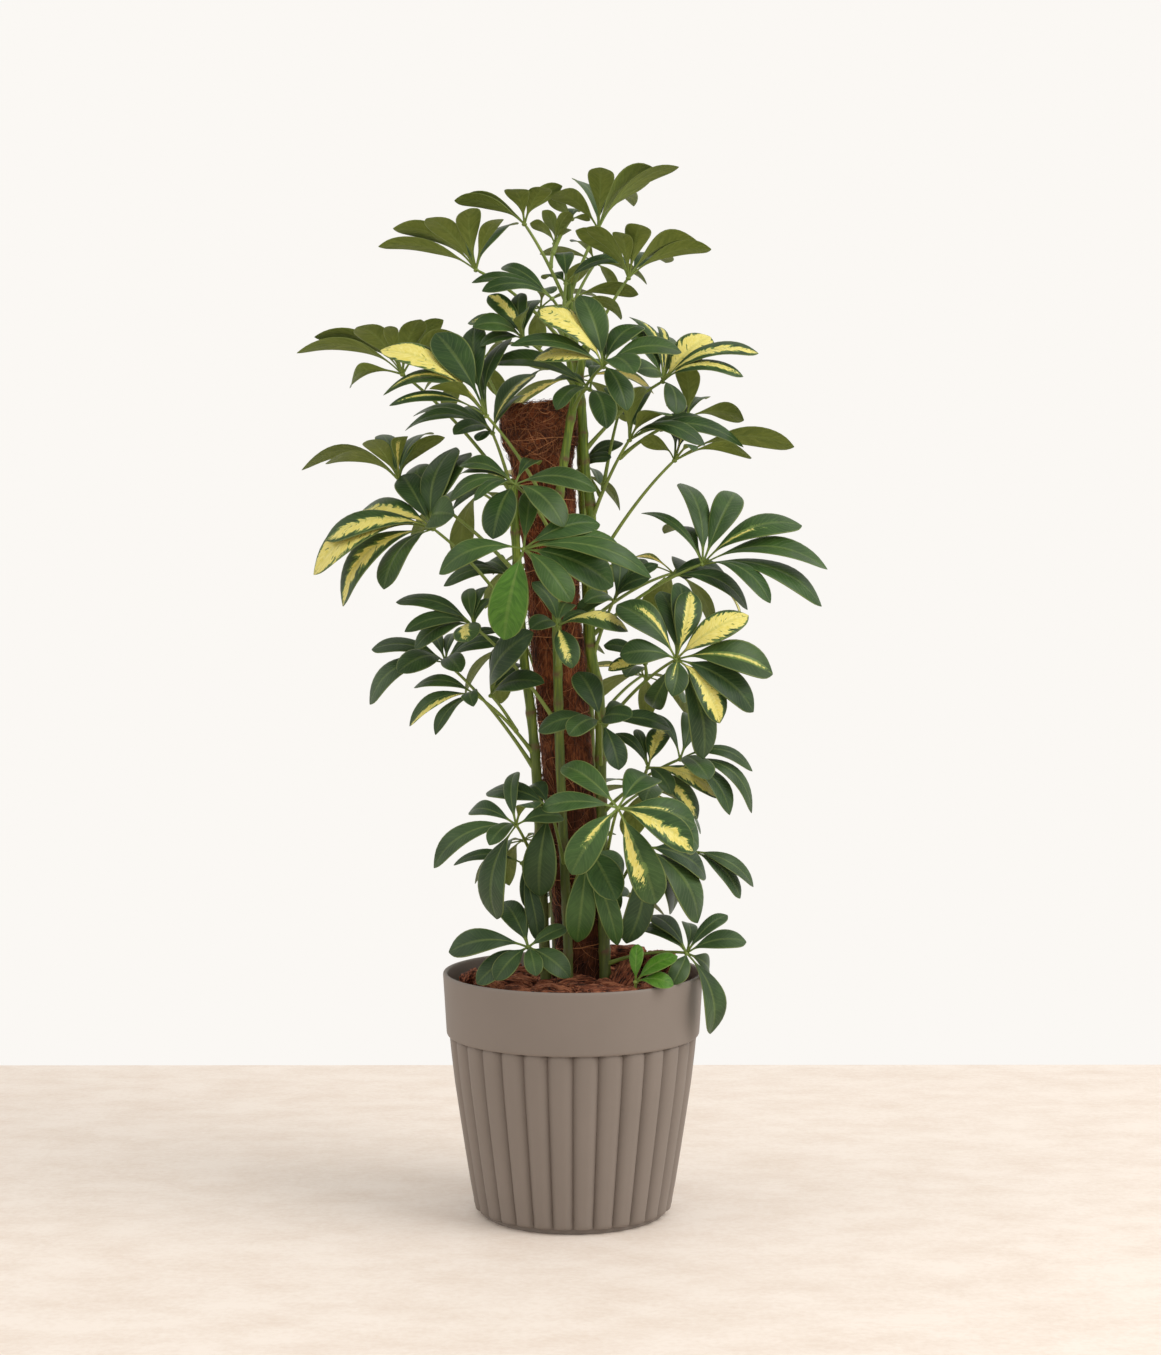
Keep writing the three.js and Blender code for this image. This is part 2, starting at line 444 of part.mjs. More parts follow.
function makePot() {
  const { height, rimRadius, rimRound, bandFootRadius, bandFoot, lip, wall, floor } = POT;
  const { fluteTopRadius, fluteFootRadius, fluteFoot, fluteDepth, footRadius } = POT;
  const fluteTop = bandFoot - lip / 2;
  const body = loft([
    fluteRing(fluteFoot, fluteFootRadius - 3.5, fluteDepth * 0.3),
    fluteRing(fluteFoot + 4, fluteFootRadius, fluteDepth),
    fluteRing(fluteTop, fluteTopRadius, fluteDepth),
  ]);
  const foot = turned([[0, 0], [footRadius, 0], [footRadius, fluteFoot + 1], [0, fluteFoot + 1]],
    POT.sides);
  const band = turned([
    [0, bandFoot - lip], [fluteTopRadius - 2, bandFoot - lip], [bandFootRadius, bandFoot],
    [rimRadius, height - rimRound], [rimRadius - rimRound, height], [0, height],
  ], POT.sides);
  const hollow = turned([
    [0, floor], [fluteFootRadius - 9, floor], [fluteTopRadius - 8, bandFoot - 8],
    [rimRadius - wall, height + 1], [0, height + 1],
  ], POT.sides);
  let pot = body.add(foot).add(band).subtract(hollow);
  for (let k = 0; k < POT.drainHoles; k++) {
    const turn = ((k + 0.5) * 2 * Math.PI) / POT.drainHoles;
    const hole = new THREE.CylinderGeometry(POT.drainRadius, POT.drainRadius, 3 * floor, 8)
      .rotateX(Math.PI / 2)
      .translate(POT.drainCircle * Math.cos(turn), POT.drainCircle * Math.sin(turn), floor / 2);
    pot = pot.subtract(solidOf(hole));
  }
  return pot;
}

// ---- soil and mulch ----

function makeSoil() {
  const { bandFoot, floor, fluteFootRadius, fluteTopRadius, rimRadius, height, wall } = POT;
  const share = (SOIL_TOP - bandFoot + 8) / (height + 1 - bandFoot + 8);
  const top = fluteTopRadius - 8 + (rimRadius - wall - fluteTopRadius + 8) * share;
  return turned([
    [0, floor + GAP], [fluteFootRadius - 9.6, floor + GAP], [fluteTopRadius - 8.6, bandFoot - 8],
    [top - 0.6, SOIL_TOP], [0, SOIL_TOP],
  ], POT.sides);
}

// A bed of bark chunks on the soil: its top is broken into facets of uneven height.
function makeMulch() {
  const random = randomiser(7);
  const { bed, relief, rimDrop, rings, sectors, radius } = MULCH;
  const bottom = SOIL_TOP + GAP;
  const ring = (out, height, uneven) =>
    Array.from({ length: sectors }, (_, k) => {
      const turn = (2 * Math.PI * (k + uneven * 0.7 * (random() - 0.5))) / sectors;
      const r = out + uneven * 0.5 * (radius / rings) * (random() - 0.5);
      const z = height + uneven * relief * (2 * random() - 1);
      return new THREE.Vector3(r * Math.cos(turn), r * Math.sin(turn), z);
    });
  const made = [ring(radius - 2, bottom, 0), ring(radius, bed - rimDrop, 0)];
  for (let k = rings - 1; k > 0; k--) made.push(ring((radius * k) / rings, bed, 1));
  made.push([new THREE.Vector3(0, 0, bed)]);
  return loft(made);
}

// ---- the pole ----

// Stands a solid that was turned about the Z axis on the pole's leaning axis.
function onPole(solid) {
  const turn = new THREE.Quaternion().setFromUnitVectors(new THREE.Vector3(0, 0, 1), POLE.lean);
  const place = new THREE.Matrix4().compose(POLE.foot, turn, new THREE.Vector3(1, 1, 1));
  return solid.transform(place.elements);
}

function makeStake(grow = 0) {
  const radius = POLE.stakeRadius + grow;
  const top = POLE.length - 60 + grow;
  return onPole(turned([[0, -POLE.stakeDepth - grow], [radius, -POLE.stakeDepth - grow],
    [radius, top], [0, top]], 10));
}

function makeWrap(grow = 0) {
  const skin = WRAP.map(([height, radius]) => [radius + grow, height]);
  return onPole(turned([[0, -grow], ...skin, [0, POLE.length + grow]], 14));
}

// ---- stems ----

function seen(x, z, depth) {
  const share = (depth - EYE.y) / -EYE.y;
  return new THREE.Vector3(x, 0, z).sub(EYE).multiplyScalar(share).add(EYE);
}

const stemCurves = {};
for (const [name, stem] of Object.entries(STEMS)) {
  const places = stem.points.map(([x, z, depth]) => seen(x, z, depth));
  stemCurves[name] = new THREE.CatmullRomCurve3(places, false, "centripetal");
}

function makeStem(name, grow = 0) {
  const curve = stemCurves[name];
  const [foot, top] = STEMS[name].radius;
  const steps = Math.round(curve.getLength() / 50);
  const radii = blend(foot, top, steps);
  return tube(curve, radii, 6, grow);
}

// The point of a stem at a height.
function onStem(name, height) {
  const curve = stemCurves[name];
  let [low, high] = [0, 1];
  for (let i = 0; i < 30; i++) {
    const half = (low + high) / 2;
    if (curve.getPoint(half).z < height) low = half;
    else high = half;
  }
  return curve.getPoint(low);
}

// ---- leaves ----

const leafCurves = {}; // each leaf's stalk, foot to hub

function stalkCurve(leaf, slide, bend) {
  const hub = seen(...leaf.hub);
  const [host, at, depth] = leaf.from;
  let foot;
  if (host === "soil") foot = new THREE.Vector3(at, depth, SOIL_TOP - 22);
  else if (STEMS[host]) foot = onStem(host, at + slide);
  else foot = leafCurves[host].getPoint(at);
  const reach = hub.distanceTo(foot);
  const way = foot.clone().add(hub).divideScalar(2);
  way.z += 0.12 * reach;
  way.y += bend;
  return new THREE.QuadraticBezierCurve3(foot, way, hub);
}

function makeStalk(curve, grow = 0) {
  const steps = Math.max(2, Math.min(3, Math.round(curve.getLength() / 36)));
  return tube(curve, blend(...STALK_RADIUS, steps), 4, grow);
}

// The tips of a leaf: those given, or an even ring about its face.
function tipsOf(leaf) {
  const hub = seen(...leaf.hub);
  if (leaf.ring) {
    const [count, turn, droop] = leaf.ring;
    const face = new THREE.Vector3(...leaf.face).normalize();
    const across = new THREE.Vector3(1, 0, 0).cross(face).normalize();
    const other = face.clone().cross(across);
    return Array.from({ length: count }, (_, k) => {
      const angle = (2 * Math.PI * (k + turn)) / count;
      const reach = leaf.reach * (k % 3 === 2 ? 0.84 : 1);
      const tip = hub.clone().addScaledVector(face, -droop * reach)
        .addScaledVector(across, reach * Math.cos(angle) * Math.sqrt(1 - droop * droop))
        .addScaledVector(other, reach * Math.sin(angle) * Math.sqrt(1 - droop * droop));
      return { tip, width: LEAFLET.widthShare * reach, arch: LEAFLET.arch };
    });
  }
  return leaf.tips.map(([x, z, lean, width, arch = LEAFLET.arch]) => {
    const shown = Math.hypot(x - leaf.hub[0], z - leaf.hub[1]);
    const hidden = Math.sqrt(Math.max(0, leaf.reach ** 2 - shown ** 2));
    const tip = seen(x, z, leaf.hub[2] + lean * hidden);
    return { tip, width: width ?? LEAFLET.widthShare * leaf.reach, arch };
  });
}

// The way across a leaflet's blade. One that would show little but its edge from the front is
// turned about its length until it shows its least share.
function acrossOf(leaf, along) {
  const across = along.clone().cross(new THREE.Vector3(...leaf.face)).normalize();
  const up = across.clone().cross(along);
  const front = new THREE.Vector3(0, -1, 0).addScaledVector(along, along.y).normalize();
  const shown = up.dot(front);
  if (leaf.ring || Math.abs(shown) >= LEAFLET.leastShown) return across;
  const least = LEAFLET.leastShown * (shown < 0 ? -1 : 1);
  const side = up.addScaledVector(front, -shown).normalize();
  const turned = front.multiplyScalar(least).addScaledVector(side, Math.sqrt(1 - least * least));
  return along.clone().cross(turned);
}

// The half width of a leaflet that shows its given width from the front, though it is turned away.
function halfWidth(width, length, along, across) {
  const turned = Math.abs(along.x * across.z - along.z * across.x);
  const shown = turned / Math.hypot(along.x, along.z);
  return Math.min(width / shown, LEAFLET.widest * length) / 2;
}

// One leaflet: a thin stalk that widens to a keeled, arched blade, from the hub to its tip.
function makeLeaflet(leaf, { tip, width, arch }, bend, shorter, grow = 0) {
  const hub = seen(...leaf.hub);
  const share = (tip.y + bend - EYE.y) / (tip.y - EYE.y);
  const end = tip.clone().sub(EYE).multiplyScalar(share).add(EYE).lerp(hub, 1 - shorter);
  const length = end.distanceTo(hub);
  const along = end.clone().sub(hub).divideScalar(length);
  const across = acrossOf(leaf, along);
  const up = across.clone().cross(along);
  const stalk = leaf.stalk ?? LEAFLET.stalk;
  const half = leaf.ring ? width / 2 : halfWidth(width, length, along, across);
  const stations = [[stalk, LEAFLET.stalkHalf]];
  const outline = leaf.ring || width < SMALL_WIDTH ? SMALL_OUTLINE : OUTLINE;
  for (const [t, wide] of outline) stations.push([stalk + (1 - stalk) * t, wide * half]);
  const rings = stations.map(([t, wide]) => {
    const rise = 4 * arch * length * t * (1 - t);
    const centre = hub.clone().addScaledVector(along, t * length).addScaledVector(up, rise + grow);
    return [
      centre.clone().addScaledVector(across, -wide - grow),
      centre.clone().addScaledVector(across, wide + grow),
      centre.addScaledVector(up, -LEAFLET.keel - 2 * grow),
    ];
  });
  rings.push([hub.clone().addScaledVector(along, length + grow)]);
  return { whole: loft([[hub], ...rings]), blade: loft(rings) };
}

// The hub is a small drum, and the leaflets leave it through its flat sides.
function makeHub(leaf) {
  const hub = seen(...leaf.hub);
  const face = new THREE.Vector3(...leaf.face).normalize();
  const across = new THREE.Vector3(1, 0, 0).cross(face).normalize();
  const other = face.clone().cross(across);
  const ring = (height) => Array.from({ length: HUB.sides }, (_, k) => {
    const turn = (2 * Math.PI * k) / HUB.sides;
    return hub.clone().addScaledVector(across, HUB.radius * Math.cos(turn))
      .addScaledVector(other, HUB.radius * Math.sin(turn)).addScaledVector(face, height);
  });
  return loft([ring(-HUB.down), ring(HUB.up)]);
}

// ---- clearance ----

const placed = []; // what later pieces stay clear of

// A leaflet's blade is kept too, because its whole meets the rest of its own leaf at the hub.
function keepClearOf(solid, node, blade = null) {
  placed.push({ solid, node, blade, box: solid.boundingBox() });
}

function apart(a, b) {
  for (let k = 0; k < 3; k++) {
    if (a.max[k] < b.min[k] || a.min[k] > b.max[k]) return true;
  }
  return false;
}

function meets(solid, other) {
  const meeting = solid.intersect(other);
  const empty = meeting.isEmpty();
  meeting.delete();
  return !empty;
}

// Whether a solid misses all that is placed, and its blade, if given, the blades of its own node.
function isClear(solid, own, blade = null) {
  const box = solid.boundingBox();
  return placed.every((other) => {
    if (apart(box, other.box)) return true;
    if (!own.includes(other.node)) return !meets(solid, other.solid);
    return !blade || !other.blade || !meets(blade, other.blade);
  });
}

// The first bend and length that leave a leaflet clear, also of its own leaf's blades if strict.
function findPlace(leaf, node, leaflet, strict) {
  for (const shorter of SHORTER) {
    for (const bend of BENDS) {
      const tried = makeLeaflet(leaf, leaflet, bend, shorter, GAP);
      if (isClear(tried.whole, [node], strict ? tried.blade : null)) return [bend, shorter];
    }
  }
  return null;
}

// ---- materials and the model ----

function matte(colour, roughness) {
  return new THREE.MeshStandardMaterial({ color: colour, roughness, metalness: 0 });
}
const MATERIALS = {
  pot: matte(0x857c75, 0.6),
  soil: matte(0x3b2a20, 0.95),
  mulch: matte(0x6e3f2c, 0.9),
  stake: matte(0xa98a5f, 0.8),
  coir: matte(0x5b3524, 0.95),
  stem: matte(0x6f8a3c, 0.55),
  leaf: matte(0x2f5a2c, 0.45),
  frontLeaf: matte(0x35652f, 0.42),
};

const plant = new THREE.Group();

function addMesh(name, solid, material) {
  const made = solid.getMesh();
  const geometry = new THREE.BufferGeometry();
  geometry.setAttribute("position", new THREE.BufferAttribute(made.vertProperties, 3));
  geometry.setIndex(new THREE.BufferAttribute(made.triVerts, 1));
  geometry.computeVertexNormals();
  const mesh = new THREE.Mesh(geometry, material);
  mesh.name = name;
  plant.add(mesh);
}

// The node that a leaf is fused into: its own, or that of the leaf whose stalk it grows from.
function nodeOf(leaf) {
  const host = LEAVES.find((other) => other.name === leaf.from[0]);
  return host ? nodeOf(host) : leaf.name;
}

const pot = makePot();
const stake = makeStake();
const wrap = makeWrap().subtract(makeStake(GAP));
const fatStems = {};
keepClearOf(pot, "pot");
keepClearOf(makeWrap(), "coir_pole");
for (const name of Object.keys(STEMS)) {
  fatStems[name] = makeStem(name, GAP);
  keepClearOf(makeStem(name), name);
}
const mulchBed = makeMulch();
keepClearOf(mulchBed, "bark_mulch");

// Stalks first, then leaflets, so that the leaflets give way.
const leafSolids = {};
const soilStalks = [];
for (const leaf of LEAVES) {
  const node = nodeOf(leaf);
  const host = leaf.from[0];
  let found = null;
  for (const slide of STALK_SLIDES) {
    for (const bend of STALK_BENDS) {
      if (found) continue;
      const curve = stalkCurve(leaf, slide, bend);
      let fat = makeStalk(curve, GAP);
      if (STEMS[host]) fat = largest(fat.subtract(fatStems[host]));
      const own = host === "soil" ? [node, "bark_mulch"] : [node];
      if (isClear(fat, own)) found = { curve, fat };
    }
  }
  const curve = found ? found.curve : stalkCurve(leaf, 0, 0);
  leafCurves[leaf.name] = curve;
  let stalk = makeStalk(curve);
  if (STEMS[host]) stalk = largest(stalk.subtract(fatStems[host]));
  if (host === "soil") soilStalks.push(makeStalk(curve, GAP));
  const hub = makeHub(leaf);
  keepClearOf(stalk, node);
  keepClearOf(hub, node);
  (leafSolids[node] ??= []).push(stalk, hub);
}
for (const leaf of LEAVES) {
  const node = nodeOf(leaf);
  tipsOf(leaf).forEach((leaflet) => {
    const found = findPlace(leaf, node, leaflet, true) ?? findPlace(leaf, node, leaflet, false);
    if (!found) return;
    const made = makeLeaflet(leaf, leaflet, ...found);
    keepClearOf(made.whole, node, made.blade);
    leafSolids[node].push(made.whole);
  });
}

const holes = [makeStake(GAP), makeWrap(GAP), ...Object.values(fatStems), ...soilStalks];
const throughHoles = wasm.Manifold.union(holes);
addMesh("pot", pot, MATERIALS.pot);
addMesh("potting_soil", makeSoil().subtract(throughHoles), MATERIALS.soil);
addMesh("bark_mulch", largest(mulchBed.subtract(throughHoles)), MATERIALS.mulch);
addMesh("pole_stake", stake, MATERIALS.stake);
addMesh("coir_pole", wrap, MATERIALS.coir);
for (const name of Object.keys(STEMS)) addMesh(name, makeStem(name), MATERIALS.stem);
for (const [node, solids] of Object.entries(leafSolids)) {
  const colour = node.includes("back") ? MATERIALS.leaf : MATERIALS.frontLeaf;
  addMesh(node, wasm.Manifold.union(solids), colour);
}

export default plant;
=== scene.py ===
"""Umbrella plant trained up a coir pole, in a fluted pot.

Lengths in the tables and in the modelling code are millimetres; a finished piece is in metres.
The front is at -Y. A leaf's rows are the same as the solids' rows, so that each finished leaf
lies on its solid.
"""
import functools
import math
import random
from collections import namedtuple

import bmesh
import bpy
from mathutils import Matrix, Vector, noise
from mathutils.kdtree import KDTree


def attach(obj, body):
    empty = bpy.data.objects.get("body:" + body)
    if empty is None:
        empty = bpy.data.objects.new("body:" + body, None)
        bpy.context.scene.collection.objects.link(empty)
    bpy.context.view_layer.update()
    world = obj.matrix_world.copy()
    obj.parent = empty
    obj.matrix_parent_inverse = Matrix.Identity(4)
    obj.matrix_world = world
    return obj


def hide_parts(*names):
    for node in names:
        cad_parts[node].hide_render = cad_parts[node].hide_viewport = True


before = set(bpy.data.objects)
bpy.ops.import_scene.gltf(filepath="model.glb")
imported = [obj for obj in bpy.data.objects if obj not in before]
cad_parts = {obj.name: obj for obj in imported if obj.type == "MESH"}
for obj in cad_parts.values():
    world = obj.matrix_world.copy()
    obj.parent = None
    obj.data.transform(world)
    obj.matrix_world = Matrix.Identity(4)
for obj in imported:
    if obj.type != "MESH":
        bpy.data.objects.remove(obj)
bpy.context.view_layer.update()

MM = 0.001
TURN = 2 * math.pi

# ---- the camera: its eye, its lens, and where the pot's axis shows in the picture ----

EYE = Vector((0, -2500, 660))
FOCAL_PIXELS = 2508  # focal length in picture pixels
PICTURE_WIDTH = 1161
PICTURE_HEIGHT = 1355
SENSOR_MM = 36
PITCH_DOWN = math.radians(2.8)
AXIS_PIXEL = 573  # the column in which the pot's axis shows

# ---- the pot: [radius, height, share of the flutes' depth] along its section ----

FLUTES = 30
FLUTE_DEPTH = 5.8  # from the crowns to the grooves between them
STEPS_IN_FLUTE = 16
DRAIN_HOLES = 4
DRAIN_RADIUS = 6
DRAIN_CIRCLE = 55  # how far the drain holes are from the axis
DRILL_MIDDLE = 4  # its height, within the pot's base
DRILL_LENGTH = 30
SHARP = math.radians(38)  # the pot's edges are crisp from this angle
POT_SECTION = [
    (0, 0, 0), (60, 0, 0), (90.8, 0, 0), (91.7, 0.5, 0), (91.9, 2, 0), (91.7, 4.9, 0),
    (95.2, 5.1, 0.3), (97.4, 5.6, 0.7), (98.9, 6.8, 0.92), (99.7, 9.5, 1), (100.2, 14, 1),
    (103.2, 30, 1), (108.3, 62, 1), (113.5, 96, 1), (118.8, 132, 1), (122.2, 161, 1),
    (123.4, 173, 1), (123.8, 177, 1.02), (123.9, 178.6, 1.15), (123.4, 179.7, 1.4),
    (123.2, 180.3, 0.7), (125, 180.6, 0.12), (126.1, 181.3, 0), (126.7, 182.6, 0),
    (126.9, 184.4, 0), (127.8, 199, 0), (129, 220, 0), (130.1, 237, 0), (130.35, 240.5, 0),
    (130.2, 242, 0), (129.5, 243, 0), (128.3, 243.2, 0), (127, 242.9, 0), (126.2, 242, 0),
    (125.8, 240, 0), (124.4, 230, 0), (122.2, 215, 0), (115.5, 173, 0), (104, 100, 0),
    (90.5, 14, 0), (88, 10, 0), (84, 9, 0), (60, 9, 0), (0, 9, 0),
]

# ---- soil and bark mulch ----

SOIL_TOP = 214
GAP = 0.4  # between the soil and the mulch
MULCH_BED = 227
MULCH_RADIUS = 120
BED_EDGE = 112  # the bed falls from here out
MULCH_TOP = 258  # the top of its highest chunk
HEAP = 3  # how much higher the large chunks lie
LARGE_CHUNK = 12  # half length
DETAILED_CHUNK = 19.5  # half length of those that have the finest skin
RIM_CHUNKS = 78  # chunks that are farther out than this lie along the rim
# the chunks that show: [x, y, half length, turn and tilt in degrees, height above the bed]
PLACED_CHUNKS = [
    (33, -103, 33, 17, 0, 5), (17, -82, 16, 5, 0, 9), (-17, -100, 18, -8, 4, 6),
    (-52, -90, 20, -30, -6, 7), (-80, -72, 21, -44, 10, 9), (-100, -40, 15, -75, -38, 13),
    (-104, -4, 19, 88, 0, 7), (50, -26, 24, 62, -34, 13), (68, -72, 20, 40, 4, 6),
    (98, -46, 20, 62, 0, 6), (104, 4, 19, 88, 4, 11), (86, 42, 26, 120, 8, 19),
    (50, 68, 28, 150, 6, 20), (4, 60, 20, 10, -8, 10),
]
# the others: [how many at most, least and greatest half length, least distance between two of
# them over the sum of their half lengths]
STREWN_CHUNKS = [(9, 20, 27, 0.62), (34, 13, 18, 0.54), (60, 6, 11, 0.5)]
MOST_TRIES = 4000
CRUMBS = 420

# ---- the coir pole ----

POLE_FOOT = Vector((19, 8, 150))
POLE_LEAN = Vector((-0.083, 0, 1)).normalized()
POLE_LENGTH = 662
# the wrap's radius at heights above its own foot: it bulges and ends in a folded cap
WRAP = [
    (0, 24), (110, 25.5), (330, 25), (520, 26), (565, 29.5), (598, 29),
    (612, 31), (626, 36.5), (652, 37), (662, 32),
]
CAP_FOOT = POLE_LENGTH - 52
BARE_FOOT = 58  # no hair is lower on the pole
HAIRS = 2300
LOOSE_HAIRS = 170
HAIR_STEPS = 6
# the thread's rings [height, tilt, turn at the start] and slants [height at the start, rise]
THREAD_RINGS = [
    (626, 0, 0), (585, 3, 1), (566, -2, 2), (500, 4, 3), (430, -3, 4), (350, 3, 5), (270, -4, 6),
    (190, 3, 7), (120, 2, 8),
]
THREAD_SLANTS = [(626, -58), (585, 40), (560, -120), (430, 150), (300, -110)]
RING_STEPS = 60
SLANT_STEPS = 40
SLANT_TURN = 2.6  # how far a slant goes round the pole

# ---- stems: radius at the foot and at the top, and points [x, z, depth] ----

STEMS = {
    "stem_front": ((4.8, 4), [
        (-3, 165, -34), (-5, 263, -32), (-13, 458, -27), (-15.5, 560, -27), (-17, 673, -29),
        (-13, 723, -32), (-9, 752, -33), (-3, 790, -33), (5, 830, -30), (12, 868, -26)]),
    "stem_right": ((6, 4.2), [
        (34, 165, -21), (32, 250, -18), (30, 340, -12), (28, 430, -7), (26, 520, -6),
        (18, 565, -6), (17, 640, -6), (18, 703, -6), (12, 748, -8), (9, 800, -8), (2, 863, -8),
        (-5, 930, -6)]),
    "stem_left": ((5.6, 4.2), [
        (-25, 165, -16), (-28, 250, -15), (-36, 433, -12), (-42, 503, -12), (-48, 548, -12),
        (-55, 640, -13), (-60, 735, -15)]),
    "stem_back": ((4.6, 3.6), [
        (26, 165, 41), (22, 253, 39), (20, 357, 36), (18, 468, 31), (13, 613, 34),
        (10, 700, 38), (6, 780, 48), (-3, 850, 44), (-10, 905, 40)]),
    "stem_rear_left": ((4.8, 3.8), [
        (-14, 165, 44), (-16, 250, 46), (-26, 450, 48), (-34, 620, 50), (-44, 745, 54)]),
}

# ---- leaves ----

# The way a leaf's upper side looks.
UP = (0, -0.1, 1)
UNDER = (0, 0.35, 0.94)
UNDER_LEFT = (-0.2, 0.32, 0.92)
UNDER_RIGHT = (0.2, 0.32, 0.92)
TOP = (0, -0.5, 0.87)
TOP_LEFT = (-0.35, -0.45, 0.82)
TOP_RIGHT = (0.35, -0.45, 0.82)
FRONT = (0, -0.8, 0.6)
FRONT_RIGHT = (0.25, -0.75, 0.61)
BACK = (0, 0.4, 0.92)
BACK_LEFT = (-0.3, 0.35, 0.88)
BACK_RIGHT = (0.3, 0.35, 0.88)

STALK_SHARE = 0.15  # how much of a leaflet's length its own thin stalk takes

# Each leaf's hub (x, z, depth), its face, where its stalk starts (a stem and a height, a leaf and
# a share of its stalk, or the soil), the reach of its longest leaflets, and its leaflets' tips
# (x, z, lean, width, arch) or a ring of them.
Leaf = namedtuple("Leaf", "name hub face host reach tips ring stalk", defaults=((), None, STALK_SHARE))

